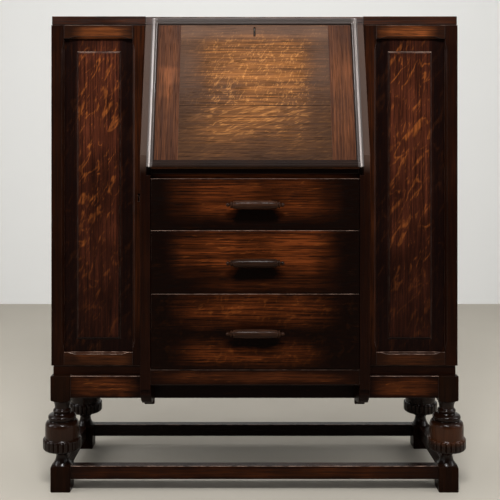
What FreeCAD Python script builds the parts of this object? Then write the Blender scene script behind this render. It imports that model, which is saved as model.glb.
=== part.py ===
import FreeCAD, Part
import math
import os
import Sketcher

# A writing bureau between two narrow cupboards, on a stand with turned legs.
# Millimetres. The front faces -Y, +X is to the right as one sits at it, +Z is up.
# The origin is on the floor, in the middle of the ground that the bureau covers.

SIZES = (
    # the case
    ("case_width", "1000"),
    ("case_height", "1168"),
    ("case_depth", "330"),
    ("top_thickness", "21"),
    ("top_end_inset", "1.5"),
    ("bottom_board_thickness", "22"),
    ("bottom_board_setback", "3"),
    ("bottom_board_end_inset", "4"),
    ("side_thickness", "18"),
    ("back_thickness", "6"),
    ("shelf_thickness", "15"),
    ("shelf_setback", "12"),
    # the stand
    ("stand_height", "285"),
    ("stand_front_ledge", "12"),
    ("stand_rear_overhang", "3"),
    ("leg_block", "48.5"),
    ("leg_lower_block_height", "64"),
    ("leg_upper_block_height", "64"),
    ("leg_shoulder_start", "0.6"),
    ("leg_shoulder_fall", "7"),
    ("cup_rim_radius", "46.8"),
    ("rim_notch_count", "24"),
    ("rim_notch_width", "5"),
    ("rim_notch_depth", "2.6"),
    ("apron_height", "54"),
    ("apron_thickness", "20"),
    ("apron_setback", "2"),
    ("stretcher_height", "32.5"),
    ("stretcher_thickness", "25"),
    ("stretcher_floor_gap", "30.5"),
    ("stretcher_setback", "6"),
    ("bracket_drop", "11"),
    ("bracket_front_inset", "8"),
    ("bracket_nose", "14"),
    ("bracket_foot", "12"),
    ("bracket_waist_back", "34"),
    ("bracket_waist_rise", "15"),
    # the bureau between the cupboards
    ("bureau_width", "536"),
    ("bureau_side_thickness", "24"),
    ("bureau_side_drop", "6"),
    ("bed_height", "801"),
    ("slope_foot_rise", "25"),
    ("bed_thickness", "18"),
    # the fall
    ("fall_inner_depth", "14"),
    ("fall_side_gap", "0.5"),
    ("fall_top_gap", "0.8"),
    ("fall_cleat_width", "63.5"),
    ("lip_gap", "0.4"),
    ("lip_below_hinge", "7.7"),
    ("lip_side_overlap", "8.5"),
    ("lip_top_overlap", "16"),
    ("lip_swing_gap", "0.8"),
    ("moulding_width", "17"),
    ("moulding_height", "6"),
    # the drawers
    ("drawers_top_drop", "29"),
    ("drawer_gap", "1"),
    ("drawer_front_thickness", "20"),
    ("drawer_front_rounding", "1.5"),
    ("drawer_rear_gap", "31"),
    ("drawer_side_thickness", "10"),
    ("drawer_side_clearance", "2"),
    ("drawer_top_clearance", "4"),
    ("drawer_running_gap", "0.3"),
    ("drawer_bottom_thickness", "5"),
    ("drawer_bottom_rise", "8"),
    ("bottom_rail_lift", "4.5"),
    ("bottom_rail_height", "36"),
    ("bottom_rail_setback", "1.5"),
    ("rail_thickness", "18"),
    ("rail_width", "50"),
    ("runner_width", "20"),
    # the turned handles
    ("handle_length", "136"),
    ("handle_radius", "10.5"),
    ("handle_standoff", "22"),
    ("handle_post_width", "12"),
    ("handle_post_height", "10"),
    ("handle_post_spacing", "60"),
    # the doors
    ("door_gap", "1"),
    ("door_thickness", "20"),
    ("door_stile_width", "31"),
    ("door_rail_width", "33"),
    ("door_groove_depth", "8"),
    ("door_groove_width", "8"),
    ("door_panel_recess", "10"),
    ("door_panel_play", "1"),
    ("door_field_margin", "31"),
    ("door_field_raise", "4"),
    ("door_field_bevel", "3"),
    ("door_chamfer", "5"),
    ("door_chamfer_stop", "10"),
    ("door_chamfer_runout", "16"),
    # butt hinges of the doors
    ("door_hinge_length", "51"),
    ("door_hinge_inset", "90"),
    ("door_knuckle_radius", "2.5"),
    ("door_leaf_width", "13"),
    ("door_leaf_thickness", "1.2"),
    # butt hinges of the fall
    ("fall_hinge_length", "60"),
    ("fall_knuckle_radius", "3"),
    ("fall_leaf_width", "24"),
    ("fall_leaf_thickness", "1.6"),
    ("knuckle_gap", "0.3"),
    ("pin_clearance", "0.05"),
    # locks and keyholes
    ("fall_lock_width", "64"),
    ("fall_lock_height", "38"),
    ("fall_lock_thickness", "9"),
    ("fall_lock_top_inset", "4"),
    ("door_lock_width", "24"),
    ("door_lock_height", "56"),
    ("door_lock_thickness", "10"),
    ("door_lock_centre_height", "729"),
    ("keyhole_radius", "2.8"),
    ("keyhole_slot_width", "2.8"),
    ("keyhole_length", "20"),
    # slotted stays that carry the open fall
    ("stay_reach", "115"),
    ("stay_pivot_rise", "8"),
    ("stay_stud_angle", "30"),
    ("stay_width", "12"),
    ("stay_thickness", "3"),
    ("stay_wall_gap", "2.5"),
    ("stay_slot_width", "5.4"),
    ("stay_slot_play", "0.4"),
    ("stay_stud_radius", "2.4"),
    ("stay_stud_head_radius", "4.6"),
    ("stay_stud_head_thickness", "1.6"),
    ("stay_bracket_length", "30"),
    ("stay_bracket_width", "14"),
    ("stay_bracket_thickness", "2"),
    ("stay_side_gap", "0.4"),
    # the pigeonholes
    ("pigeonhole_stay_gap", "16.665"),
    ("pigeonhole_board", "8"),
    ("pigeonhole_divider", "6"),
    ("inner_drawer_width", "150"),
    ("inner_drawer_height", "56"),
    ("inner_drawer_wall", "6"),
    ("inner_drawer_gap", "0.6"),
    ("inner_drawer_knob_radius", "7"),
    ("inner_drawer_knob_length", "13"),
    ("cut_overrun", "2"),
)

# Turned part of a leg, from the lower block up: radius as a share of the rim's radius,
# height as a share of the turned length.
LEG_TURNING_SHARES = (
    (0.505, 0.0),
    (0.31, 0.165),
    (0.915, 0.226),
    (1.0, 0.27),
    (1.0, 0.408),
    (0.87, 0.408),
    (0.87, 0.61),
    (0.82, 0.668),
    (0.74, 0.705),
    (0.47, 0.742),
    (0.4, 0.75),
    (0.47, 0.792),
    (0.4, 0.834),
    (0.363, 0.85),
    (0.4, 0.93),
    (0.49, 1.0),
)
RIM_TOP_SHARE = 0.408
RIM_FOOT_SHARE = 0.28

# Half of a handle's bar: place along the half length, radius as a share of the largest.
HANDLE_TURNING_SHARES = (
    (0.0, 1.0),
    (0.69, 1.0),
    (0.69, 0.58),
    (0.75, 0.58),
    (0.75, 0.78),
    (0.81, 0.78),
    (0.81, 0.32),
    (0.86, 0.32),
    (0.86, 0.46),
    (1.0, 0.46),
    (1.0, 0.0),
)

# Section of the fall's edge moulding: place across its width from the outer edge, height.
MOULDING_SHARES = (
    (0.0, 0.0, 0),
    (0.0, 0.45, 0),
    (0.2, 0.9, 0.2),
    (0.28, 0.9, 0),
    (0.3, 0.7, 0),
    (0.62, 0.7, 0.3),
    (0.64, 0.5, 0),
    (0.95, 0.2, 0.18),
    (1.0, 0.2, 0),
    (1.0, 0.0, 0),
)

KNOB_TURNING_SHARES = (
    (0.0, 0.45),
    (0.4, 0.45),
    (0.66, 1.0),
    (1.0, 0.6),
)

# Knuckles along a butt hinge: one on the fixed leaf, the other on the moving leaf.
FIXED_KNUCKLE_SHARES = ((0, 1 / 2),)
MOVING_KNUCKLE_SHARES = ((1 / 2, 1),)

SHELF_SHARES = (1 / 3, 2 / 3)

# How far the slope leans back, as a share of its rise.
SLOPE_SHARE = 1 / 3

# Drawer heights from the top down, as shares of the stack of drawers.
DRAWER_HEIGHT_SHARES = (0.271, 0.3315, 0.3975)

# Height of the pigeonholes, as a share of the room above the writing bed.
PIGEONHOLE_SHARE = 0.6936

SIDES = (("left", -1), ("right", 1))
QUARTER_TURN = 90
FULL_TURN = 360
ROOT_TWO = math.sqrt(2)
X_AXIS = FreeCAD.Vector(1, 0, 0)
Y_AXIS = FreeCAD.Vector(0, 1, 0)
Z_AXIS = FreeCAD.Vector(0, 0, 1)

doc = FreeCAD.newDocument("Writing_bureau")
sheet = doc.addObject("Spreadsheet::Sheet", "Sizes")
places = doc.addObject("Spreadsheet::Sheet", "Places")
for sheet_row, (alias, number) in enumerate(SIZES, 1):
    sheet.set("A%d" % sheet_row, alias)
    sheet.set("B%d" % sheet_row, number)
    sheet.setAlias("B%d" % sheet_row, alias)
doc.recompute()


def number_of(value):
    """The number behind a Size or a plain number."""
    return value.number if isinstance(value, Size) else float(value)


def text_of(value):
    """The expression behind a Size or a plain number."""
    return value.text if isinstance(value, Size) else repr(value)


class Size:
    """A number worked out from the sheet, carried along with the same sum as an expression."""

    def __init__(self, number, text):
        self.number = number
        self.text = text

    def __add__(self, other):
        return Size(self.number + number_of(other), "(%s + %s)" % (self.text, text_of(other)))

    def __radd__(self, other):
        return self + other

    def __sub__(self, other):
        return Size(self.number - number_of(other), "(%s - %s)" % (self.text, text_of(other)))

    def __rsub__(self, other):
        return -self + other

    def __mul__(self, other):
        return Size(self.number * number_of(other), "(%s * %s)" % (self.text, text_of(other)))

    def __rmul__(self, other):
        return self * other

    def __truediv__(self, other):
        return Size(self.number / number_of(other), "(%s / %s)" % (self.text, text_of(other)))

    def __neg__(self):
        return Size(-self.number, "(-1 * %s)" % self.text)


class Sheet:
    """Gives a driving dimension of the sheet by its alias."""

    def __getattr__(self, alias):
        return Size(float(sheet.get(alias)), "Sizes." + alias)


class Place:
    """Worked-out places, each kept in the second sheet under its name."""

    def __init__(self):
        object.__setattr__(self, "rows", 0)

    def __setattr__(self, name, size):
        object.__setattr__(self, "rows", self.rows + 1)
        places.set("A%d" % self.rows, name)
        places.set("B%d" % self.rows, "=" + size.text)
        places.setAlias("B%d" % self.rows, name)
        object.__setattr__(self, name, Size(size.number, "Places." + name))


def hypotenuse(one, other):
    """Length of the long side of a right triangle."""
    number = math.hypot(number_of(one), number_of(other))
    return Size(number, "sqrt(%s ^ 2 + %s ^ 2)" % (text_of(one), text_of(other)))


def angle_of(rise, run):
    """Angle in degrees whose tangent is rise over run."""
    number = math.degrees(math.atan(number_of(rise) / number_of(run)))
    return Size(number, "(atan(%s / %s) / 1 deg)" % (text_of(rise), text_of(run)))


def sine(angle):
    """Sine of an angle in degrees."""
    return Size(math.sin(math.radians(angle.number)), "sin(%s)" % angle.text)


def cosine(angle):
    """Cosine of an angle in degrees."""
    return Size(math.cos(math.radians(angle.number)), "cos(%s)" % angle.text)


def bind(item, name, value):
    """Ties a property of an object to an expression."""
    item.setExpression(name, text_of(value))


def lay(item, x=0, y=0, z=0, axis=X_AXIS, angle=0):
    """Sets an object's placement from sizes."""
    item.Placement = FreeCAD.Placement(FreeCAD.Vector(), FreeCAD.Rotation(axis, 0))
    bind(item, "Placement.Base.x", x)
    bind(item, "Placement.Base.y", y)
    bind(item, "Placement.Base.z", z)
    if angle != 0:
        bind(item, "Placement.Rotation.Angle", angle)
    return item


def board(name, low, high):
    """A square-edged board between two corners."""
    item = doc.addObject("Part::Box", name)
    for side, start, end in zip(("Length", "Width", "Height"), low, high):
        bind(item, side, end - start)
    return lay(item, *low)


def rod(name, radius, length, axis, x=0, y=0, z=0):
    """A round rod whose middle is at the place given, along one axis of the frame."""
    item = doc.addObject("Part::Cylinder", name)
    bind(item, "Radius", radius)
    bind(item, "Height", length)
    if axis == "x":
        lay(item, x - length / 2, y, z, Y_AXIS, QUARTER_TURN)
    elif axis == "y":
        lay(item, x, y + length / 2, z, X_AXIS, QUARTER_TURN)
    else:
        lay(item, x, y, z - length / 2)
    return item


def fuse(name, parts):
    """Joins pieces of one solid."""
    item = doc.addObject("Part::MultiFuse", name)
    item.Shapes = list(parts)
    return item


def cut(name, base, tools):
    """Takes tools away from a solid."""
    item = doc.addObject("Part::Cut", name)
    item.Base = base
    item.Tool = tools[0] if len(tools) == 1 else fuse(name + "_cuts", tools)
    return item


def group(name, parts):
    """Keeps like pieces together as separate solids."""
    item = doc.addObject("Part::Compound", name)
    item.Links = list(parts)
    return item


def span(sign, inner, outer):
    """Low and high X of something that lies between inner and outer on one side."""
    return (inner, outer) if sign > 0 else (-outer, -inner)


def origin_plane(body, role):
    """One of a body's own planes."""
    return next(item for item in body.Origin.OriginFeatures if item.Role == role)


def arc_edge(start, end, bulge):
    """Arc from start to end that bows to the right of the way by bulge times its chord."""
    x0, y0, x1, y1 = (number_of(value) for value in (*start[:2], *end[:2]))
    chord = math.hypot(x1 - x0, y1 - y0)
    radius = chord * (1 / (8 * abs(bulge)) + abs(bulge) / 2)
    side = math.copysign(1, bulge)
    inward = side * (radius - chord * abs(bulge))
    centre_x = (x0 + x1) / 2 - inward * (y1 - y0) / chord
    centre_y = (y0 + y1) / 2 + inward * (x1 - x0) / chord
    first = math.atan2(y0 - centre_y, x0 - centre_x)
    last = math.atan2(y1 - centre_y, x1 - centre_x)
    if side < 0:
        first, last = last, first
    circle = Part.Circle(FreeCAD.Vector(centre_x, centre_y, 0), Z_AXIS, radius)
    return Part.ArcOfCircle(circle, first, last if last > first else last + 2 * math.pi)


def arc_radius(start, end, bulge):
    """Radius of the same arc as an expression."""
    chord = hypotenuse(end[0] - start[0], end[1] - start[1])
    bend = 1 / (8 * abs(bulge)) + abs(bulge) / 2
    return chord * bend


def outline(body, role, name, points, lift=0):
    """Closed sketch through points; a third value on a point makes the edge to it an arc."""
    sketch = body.newObject("Sketcher::SketchObject", name)
    sketch.AttachmentSupport = [(origin_plane(body, role), "")]
    sketch.MapMode = "FlatFace"
    if lift != 0:
        bind(sketch, "AttachmentOffset.Base.z", lift)
    edges = []
    for index, start in enumerate(points):
        end = points[(index + 1) % len(points)]
        bulge = end[2] if len(end) > 2 else 0
        if bulge:
            sketch.addGeometry(arc_edge(start, end, bulge), False)
            edges.append((1, 2, bulge) if bulge > 0 else (2, 1, bulge))
        else:
            corners = [FreeCAD.Vector(number_of(p[0]), number_of(p[1]), 0) for p in (start, end)]
            sketch.addGeometry(Part.LineSegment(*corners), False)
            edges.append((1, 2, 0))
    for index, (first, last, bulge) in enumerate(edges):
        following = (index + 1) % len(edges)
        join = Sketcher.Constraint("Coincident", index, last, following, edges[following][0])
        sketch.addConstraint(join)
    for index, (first, last, bulge) in enumerate(edges):
        pin_point(sketch, index, first, points[index])
        if bulge:
            radius = arc_radius(points[index], points[(index + 1) % len(points)], bulge)
            row = sketch.addConstraint(Sketcher.Constraint("Radius", index, radius.number))
            bind(sketch, "Constraints[%d]" % row, radius)
    return sketch


def pin_point(sketch, edge, end, point):
    """Ties one end of an edge to its place in the sketch."""
    for kind, axis, value in (("DistanceX", -2, point[0]), ("DistanceY", -1, point[1])):
        if number_of(value) == 0:
            sketch.addConstraint(Sketcher.Constraint("PointOnObject", edge, end, axis))
        else:
            rule = Sketcher.Constraint(kind, -1, 1, edge, end, number_of(value))
            row = sketch.addConstraint(rule)
            bind(sketch, "Constraints[%d]" % row, value)


def new_body(name):
    """A body that features are added to."""
    return doc.addObject("PartDesign::Body", name)


def pad(body, sketch, length):
    """Raises a sketch along its plane's normal."""
    feature = body.newObject("PartDesign::Pad", sketch.Name + "_pad")
    feature.Profile = sketch
    bind(feature, "Length", length)
    return feature


def revolve(body, sketch, axis="V_Axis"):
    """Turns a half section once round an axis of its sketch."""
    feature = body.newObject("PartDesign::Revolution", sketch.Name + "_turned")
    feature.Profile = sketch
    feature.ReferenceAxis = (sketch, [axis])
    feature.Angle = FULL_TURN
    return feature


def groove(body, sketch):
    """Turns a cutting section once round the upright axis of its sketch."""
    feature = body.newObject("PartDesign::Groove", sketch.Name + "_turned")
    feature.Profile = sketch
    feature.ReferenceAxis = (sketch, ["V_Axis"])
    feature.Angle = FULL_TURN
    return feature


def pocket(body, sketch, length, both_ways=False):
    """Cuts a sketch through the solid along its plane's normal."""
    feature = body.newObject("PartDesign::Pocket", sketch.Name + "_cut")
    feature.Profile = sketch
    bind(feature, "Length", length)
    feature.Midplane = both_ways
    return feature


def edges_where(feature, test):
    """Names of a feature's edges whose ends all pass a test."""
    names = []
    for index, edge in enumerate(feature.Shape.Edges, 1):
        if edge.Vertexes and all(test(vertex.Point) for vertex in edge.Vertexes):
            names.append("Edge%d" % index)
    return names


def rectangle(x_low, x_high, y_low, y_high):
    """Corners of a rectangle for a sketch."""
    return [(x_low, y_low), (x_high, y_low), (x_high, y_high), (x_low, y_high)]


def turned_half(shares, length, radius, start=0):
    """Half section of turned work: points with the radius first and the height second."""
    points = [(0, start)]
    for radius_share, height_share in shares:
        points.append((radius * radius_share, length * height_share + start))
    points.append((0, length * shares[-1][1] + start))
    return points


s = Sheet()
p = Place()
nodes = []


def keep(item):
    """Makes an object a sub-part of the bureau under its own name."""
    item.Label = item.Name
    nodes.append(item)
    return item


# Planes that the whole piece is set out from

p.top_underside = s.case_height - s.top_thickness
p.slope_foot = s.bed_height + s.slope_foot_rise
p.slope_rise = p.top_underside - p.slope_foot
p.bureau_projection = p.slope_rise * SLOPE_SHARE
p.case_half = s.case_width / 2
p.cup_stand_out = s.cup_rim_radius - s.leg_block / 2
p.handle_reach = s.handle_standoff + s.handle_radius
p.stand_depth = s.stand_front_ledge + s.case_depth + s.stand_rear_overhang
p.ground_depth = (
    p.handle_reach + p.bureau_projection - s.stand_front_ledge + p.stand_depth + p.cup_stand_out
)
p.stand_rear = p.ground_depth / 2 - p.cup_stand_out
p.stand_front = p.stand_rear - p.stand_depth
p.case_rear = p.stand_rear - s.stand_rear_overhang
p.door_front = p.case_rear - s.case_depth
p.bureau_front = p.door_front - p.bureau_projection
p.door_back = p.door_front + s.door_thickness
p.case_front_edge = p.door_back + s.door_gap
p.back_front = p.case_rear - s.back_thickness
p.case_floor = s.stand_height + s.bottom_board_thickness
p.bottom_rail_foot = s.stand_height + s.bottom_rail_lift
p.bottom_rail_top = p.bottom_rail_foot + s.bottom_rail_height
p.side_inner = p.case_half - s.side_thickness
p.bureau_half = s.bureau_width / 2
p.bureau_inner = p.bureau_half - s.bureau_side_thickness

# The slope of the fall, from the foot of the slope up to the top board

p.slope_length = hypotenuse(p.bureau_projection, p.slope_rise)
p.slope_sine = p.bureau_projection / p.slope_length
p.slope_cosine = p.slope_rise / p.slope_length
p.slope_angle = angle_of(p.bureau_projection, p.slope_rise)

# The fall's hinge axis lies where its inner face meets the writing bed

p.hinge_above_foot = s.bed_height - p.slope_foot + s.fall_inner_depth * p.slope_sine
p.hinge_front = (
    p.bureau_front
    + s.fall_inner_depth * p.slope_cosine
    + p.hinge_above_foot * p.slope_sine / p.slope_cosine
)
p.bed_front = p.hinge_front + s.lip_below_hinge + s.lip_swing_gap
p.fall_thickness = s.fall_inner_depth + s.lip_gap
p.fall_total = p.fall_thickness + s.moulding_height
p.slope_top_place = (
    (p.door_front - p.hinge_front) * p.slope_sine
    + (p.top_underside - s.bed_height) * p.slope_cosine
)
p.fall_top = p.slope_top_place - s.fall_top_gap
p.lip_top = p.slope_top_place + s.lip_top_overlap
p.fall_half = p.bureau_inner - s.fall_side_gap
p.lip_half = p.bureau_inner + s.lip_side_overlap
p.fall_hinge_middle = p.fall_half - s.fall_cleat_width - s.fall_hinge_length / 2
p.notch_floor = s.bed_height - p.fall_total - s.lip_swing_gap


def leg(name, x, y):
    """Square blocks above and below, with the turned cup and its notched rim between."""
    body = new_body(name)
    turned_length = s.stand_height - s.leg_upper_block_height - s.leg_lower_block_height
    points = turned_half(
        LEG_TURNING_SHARES, turned_length, s.cup_rim_radius, s.leg_lower_block_height
    )
    turned = revolve(body, outline(body, "XZ_Plane", name + "_turning", points))
    half = s.leg_block / 2
    square = rectangle(-half, half, -half, half)
    pad(body, outline(body, "XY_Plane", name + "_foot", square), s.leg_lower_block_height)
    head_foot = s.stand_height - s.leg_upper_block_height
    pad(
        body,
        outline(body, "XY_Plane", name + "_head", square, head_foot),
        s.leg_upper_block_height,
    )
    corner = half * ROOT_TWO
    start = half + s.leg_shoulder_start
    for place, level, fall in (
        ("lower", s.leg_lower_block_height, -s.leg_shoulder_fall),
        ("upper", head_foot, s.leg_shoulder_fall),
    ):
        points = [(start, level), (corner + s.cut_overrun, level + fall),
                  (corner + s.cut_overrun, level)]
        sketch = outline(body, "XZ_Plane", "%s_%s_shoulder" % (name, place), points)
        groove(body, sketch)
    rim_top = turned_length * RIM_TOP_SHARE + s.leg_lower_block_height
    rim_height = turned_length * (RIM_TOP_SHARE - RIM_FOOT_SHARE)
    outside = s.cup_rim_radius + s.cut_overrun
    opening = s.rim_notch_width / 2
    flare = opening * (s.rim_notch_depth + s.cut_overrun) / s.rim_notch_depth
    notch_points = [
        (s.cup_rim_radius - s.rim_notch_depth, 0),
        (outside, -flare),
        (outside, flare),
    ]
    notch = pocket(
        body, outline(body, "XY_Plane", name + "_notch", notch_points, rim_top), rim_height
    )
    doc.recompute()
    ring = body.newObject("PartDesign::PolarPattern", name + "_notches")
    ring.Originals = [notch]
    ring.Axis = (origin_plane(body, "Z_Axis"), [""])
    ring.Angle = FULL_TURN
    bind(ring, "Occurrences", s.rim_notch_count)
    body.Tip = ring
    return lay(body, x, y, 0)


def legs():
    """Front and rear pairs of legs, with their outer faces flush with the case's sides."""
    half = s.leg_block / 2
    for row, y in (("front", p.stand_front + half), ("rear", p.stand_rear - half)):
        pair = [leg("leg_%s_%s" % (row, side), (p.case_half - half) * sign, y)
                for side, sign in SIDES]
        keep(group("legs_" + row, pair))


def frame_rails(kind, setback, thickness, low, high):
    """Front, rear and side rails between the legs, at one height."""
    inner_x = p.case_half - s.leg_block
    front_y = p.stand_front + setback
    rear_y = p.stand_rear - setback
    keep(board(kind + "_front", (-inner_x, front_y, low), (inner_x, front_y + thickness, high)))
    keep(board(kind + "_rear", (-inner_x, rear_y - thickness, low), (inner_x, rear_y, high)))
    sides = []
    for side, sign in SIDES:
        x = span(sign, p.case_half - setback - thickness, p.case_half - setback)
        start = (x[0], p.stand_front + s.leg_block, low)
        end = (x[1], p.stand_rear - s.leg_block, high)
        sides.append(board("%s_%s" % (kind, side), start, end))
    keep(group(kind + "_sides", sides))


def stand_rails():
    """Aprons at the top of the stand and stretchers near the floor."""
    frame_rails(
        "apron",
        s.apron_setback,
        s.apron_thickness,
        s.stand_height - s.apron_height,
        s.stand_height,
    )
    frame_rails(
        "stretcher",
        s.stretcher_setback,
        s.stretcher_thickness,
        s.stretcher_floor_gap,
        s.stretcher_floor_gap + s.stretcher_height,
    )


def side_brackets():
    """Shaped brackets on the front apron, under the sides of the bureau."""
    top = s.stand_height - s.bureau_side_drop
    foot = s.stand_height - s.apron_height - s.bracket_drop
    back = p.stand_front + s.apron_setback
    front = p.bureau_front + s.bracket_front_inset
    waist = (back - s.bracket_waist_back, foot + s.bracket_waist_rise)
    points = [
        (back, top),
        (front, top),
        (front, top - s.bracket_nose),
        (*waist, 0.16),
        (back - s.bracket_foot, foot, -0.2),
        (back, foot),
    ]
    brackets = []
    for side, sign in SIDES:
        body = new_body("bracket_" + side)
        pad(body, outline(body, "YZ_Plane", "bracket_outline_" + side, points),
            s.bureau_side_thickness)
        lay(body, span(sign, p.bureau_inner, p.bureau_half)[0], 0, 0)
        brackets.append(body)
    keep(group("side_brackets", brackets))


def bevel_tool(name):
    """Slab in front of the slope that bevels the top board's edge over the fall."""
    depth = s.top_thickness
    reach = s.cut_overrun
    item = doc.addObject("Part::Box", name)
    bind(item, "Length", s.bureau_width)
    bind(item, "Width", depth)
    bind(item, "Height", s.top_thickness + reach * 4)
    y = p.door_front - depth * p.slope_cosine - reach * p.slope_sine
    z = p.top_underside + depth * p.slope_sine - reach * p.slope_cosine
    return lay(item, -p.bureau_half, y, z, X_AXIS, -p.slope_angle)


def case_boards():
    """Top, bottom and outer sides of the case."""
    top_half = p.case_half - s.top_end_inset
    low = (-top_half, p.door_front, p.top_underside)
    high = (top_half, p.case_rear, s.case_height)
    keep(cut("top_board", board("top_blank", low, high), [bevel_tool("top_bevel")]))
    bottom_half = p.case_half - s.bottom_board_end_inset
    front = p.door_front + s.bottom_board_setback
    keep(board(
        "bottom_board",
        (-bottom_half, front, s.stand_height),
        (bottom_half, p.case_rear, p.case_floor),
    ))
    for side, sign in SIDES:
        x = span(sign, p.side_inner, p.case_half)
        blank = board(
            "case_side_blank_" + side,
            (x[0], p.case_front_edge, p.case_floor),
            (x[1], p.case_rear, p.top_underside),
        )
        keep(cut("case_side_" + side, blank, door_hinge_gains(side, sign, "case")))


def bureau_sides():
    """Sides of the bureau: upright below, sloping above, notched where the fall's lip swings."""
    apron_face = p.stand_front + s.apron_setback
    board_face = p.door_front + s.bottom_board_setback
    points = [
        (p.case_rear, p.case_floor),
        (p.case_rear, p.top_underside),
        (p.door_front, p.top_underside),
        (p.bureau_front, p.slope_foot),
        (p.bureau_front, s.stand_height - s.bureau_side_drop),
        (apron_face, s.stand_height - s.bureau_side_drop),
        (apron_face, s.stand_height),
        (board_face, s.stand_height),
        (board_face, p.case_floor),
    ]
    for side, sign in SIDES:
        body = new_body("bureau_side_blank_" + side)
        pad(body, outline(body, "YZ_Plane", "bureau_side_outline_" + side, points),
            s.bureau_side_thickness)
        lay(body, span(sign, p.bureau_inner, p.bureau_half)[0], 0, 0)
        x = span(sign, p.bureau_inner - s.cut_overrun, p.lip_half + s.lip_swing_gap)
        notch = board(
            "bureau_side_notch_" + side,
            (x[0], p.bureau_front - s.cut_overrun, p.notch_floor),
            (x[1], p.bed_front, s.bed_height),
        )
        keep(cut("bureau_side_" + side, body, [notch]))


def back_panels():
    """Thin backs of the bureau and the two cupboards."""
    gaps = [("centre", (-p.bureau_inner, p.bureau_inner))]
    for side, sign in SIDES:
        gaps.append((side, span(sign, p.bureau_half, p.side_inner)))
    panels = []
    for side, x in gaps:
        low = (x[0], p.back_front, p.case_floor)
        high = (x[1], p.case_rear, p.top_underside)
        panels.append(board("back_panel_" + side, low, high))
    keep(group("back_panels", panels))


def cupboard_shelves():
    """Two fixed shelves in each cupboard."""
    shelves = []
    height = p.top_underside - p.case_floor
    for side, sign in SIDES:
        x = span(sign, p.bureau_half, p.side_inner)
        for count, share in enumerate(SHELF_SHARES, 1):
            z = height * share + p.case_floor
            low = (x[0], p.door_back + s.shelf_setback, z)
            high = (x[1], p.back_front, z + s.shelf_thickness)
            shelves.append(board("shelf_%s_%d" % (side, count), low, high))
    keep(group("cupboard_shelves", shelves))


def door_knuckle_box(name, sign, z_low, z_high, reach):
    """Round gain for a door hinge's knuckles at the outer arris."""
    length = z_high - z_low
    middle = (z_low + z_high) / 2
    y = p.door_back + s.door_gap / 2
    return rod(name, reach, length, "z", p.case_half * sign, y, middle)


def door_hinge_levels():
    """Lowest and highest point of each of a door's two hinges."""
    low = p.case_floor + s.door_hinge_inset
    high = p.top_underside - s.door_hinge_inset
    return (
        ("lower", low, low + s.door_hinge_length),
        ("upper", high - s.door_hinge_length, high),
    )


def door_hinge_gains(side, sign, part):
    """Recesses for the hinge leaves, in the case's side or in the door's stile."""
    tools = []
    inner = p.case_half - s.door_leaf_width
    x = span(sign, inner, p.case_half + s.cut_overrun)
    if part == "case":
        y = (p.case_front_edge - s.cut_overrun, p.case_front_edge + s.door_leaf_thickness)
    else:
        y = (p.door_back - s.door_leaf_thickness, p.door_back + s.cut_overrun)
    reach = s.door_knuckle_radius + s.knuckle_gap
    for place, low, high in door_hinge_levels():
        name = "gain_%s_%s_%s" % (part, side, place)
        tools.append(board(name, (x[0], y[0], low), (x[1], y[1], high)))
        tools.append(door_knuckle_box(name + "_round", sign, low, high, reach))
    return tools


def knuckles(name, start, length, shares, radius, axis, across, other):
    """Round knuckles of one leaf along the hinge axis, with a running gap at each end."""
    rods = []
    for count, (low, high) in enumerate(shares):
        gap = s.knuckle_gap if shares is MOVING_KNUCKLE_SHARES else 0
        run = length * (high - low) - gap * 2
        middle = start + length * ((low + high) / 2)
        place = (middle, across, other) if axis == "x" else (across, other, middle)
        rods.append(rod("%s_knuckle_%d" % (name, count), radius, run, axis, *place))
    return rods


def door_leaf(name, sign, low, high, moving):
    """One leaf of a door hinge, with its knuckles on the outer arris of door and case."""
    length = high - low
    face = p.door_back if moving else p.case_front_edge
    y = (face - s.door_leaf_thickness, face) if moving else (face, face + s.door_leaf_thickness)
    shares = MOVING_KNUCKLE_SHARES if moving else FIXED_KNUCKLE_SHARES
    solids = knuckles(name, low, length, shares, s.door_knuckle_radius, "z",
                      p.case_half * sign, p.door_back + s.door_gap / 2)
    x = span(sign, p.case_half - s.door_leaf_width,
             p.case_half - s.door_knuckle_radius - s.knuckle_gap)
    solids.append(board(name + "_plate", (x[0], y[0], low), (x[1], y[1], high)))
    roots = span(sign, p.case_half - s.door_knuckle_radius - s.knuckle_gap, p.case_half)
    for count, (first, last) in enumerate(shares):
        gap = s.knuckle_gap if moving else 0
        solids.append(board("%s_root_%d" % (name, count),
                            (roots[0], y[0], low + length * first + gap),
                            (roots[1], y[1], low + length * last - gap)))
    return fuse(name, solids)


def door_hinges():
    """The case's leaves of the four door hinges, and each door's own."""
    fixed = []
    for side, sign in SIDES:
        moving = []
        for place, low, high in door_hinge_levels():
            name = "%s_%s" % (side, place)
            fixed.append(door_leaf("case_leaf_" + name, sign, low, high, False))
            moving.append(door_leaf("door_leaf_" + name, sign, low, high, True))
        keep(group("door_%s_hinge_leaves" % side, moving))
    keep(group("case_hinge_leaves", fixed))


def stopped_chamfer(name, arris, length, along, outward):
    """Wedge that takes an arris off and fades out at both ends."""
    depth = s.door_chamfer
    item = doc.addObject("Part::Wedge", name)
    sizes = {
        "Xmin": s.door_chamfer_runout,
        "Xmax": length - s.door_chamfer_runout,
        "X2min": 0,
        "X2max": length,
        "Ymin": 0,
        "Ymax": depth / ROOT_TWO,
        "Zmin": 0,
        "Zmax": depth * ROOT_TWO,
        "Z2min": depth / ROOT_TWO,
        "Z2max": depth / ROOT_TWO,
    }
    across = along.cross(outward)
    turn = FreeCAD.Rotation(along, outward, across, "XYZ")
    item.Placement = FreeCAD.Placement(FreeCAD.Vector(), turn)
    for key, value in sizes.items():
        setattr(item, key, number_of(value))
        bind(item, key, value)
    shift = (outward + across) / -2
    for axis, place, way in zip("xyz", arris, shift):
        bind(item, "Placement.Base." + axis, place + depth * round(way))
    return item


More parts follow.
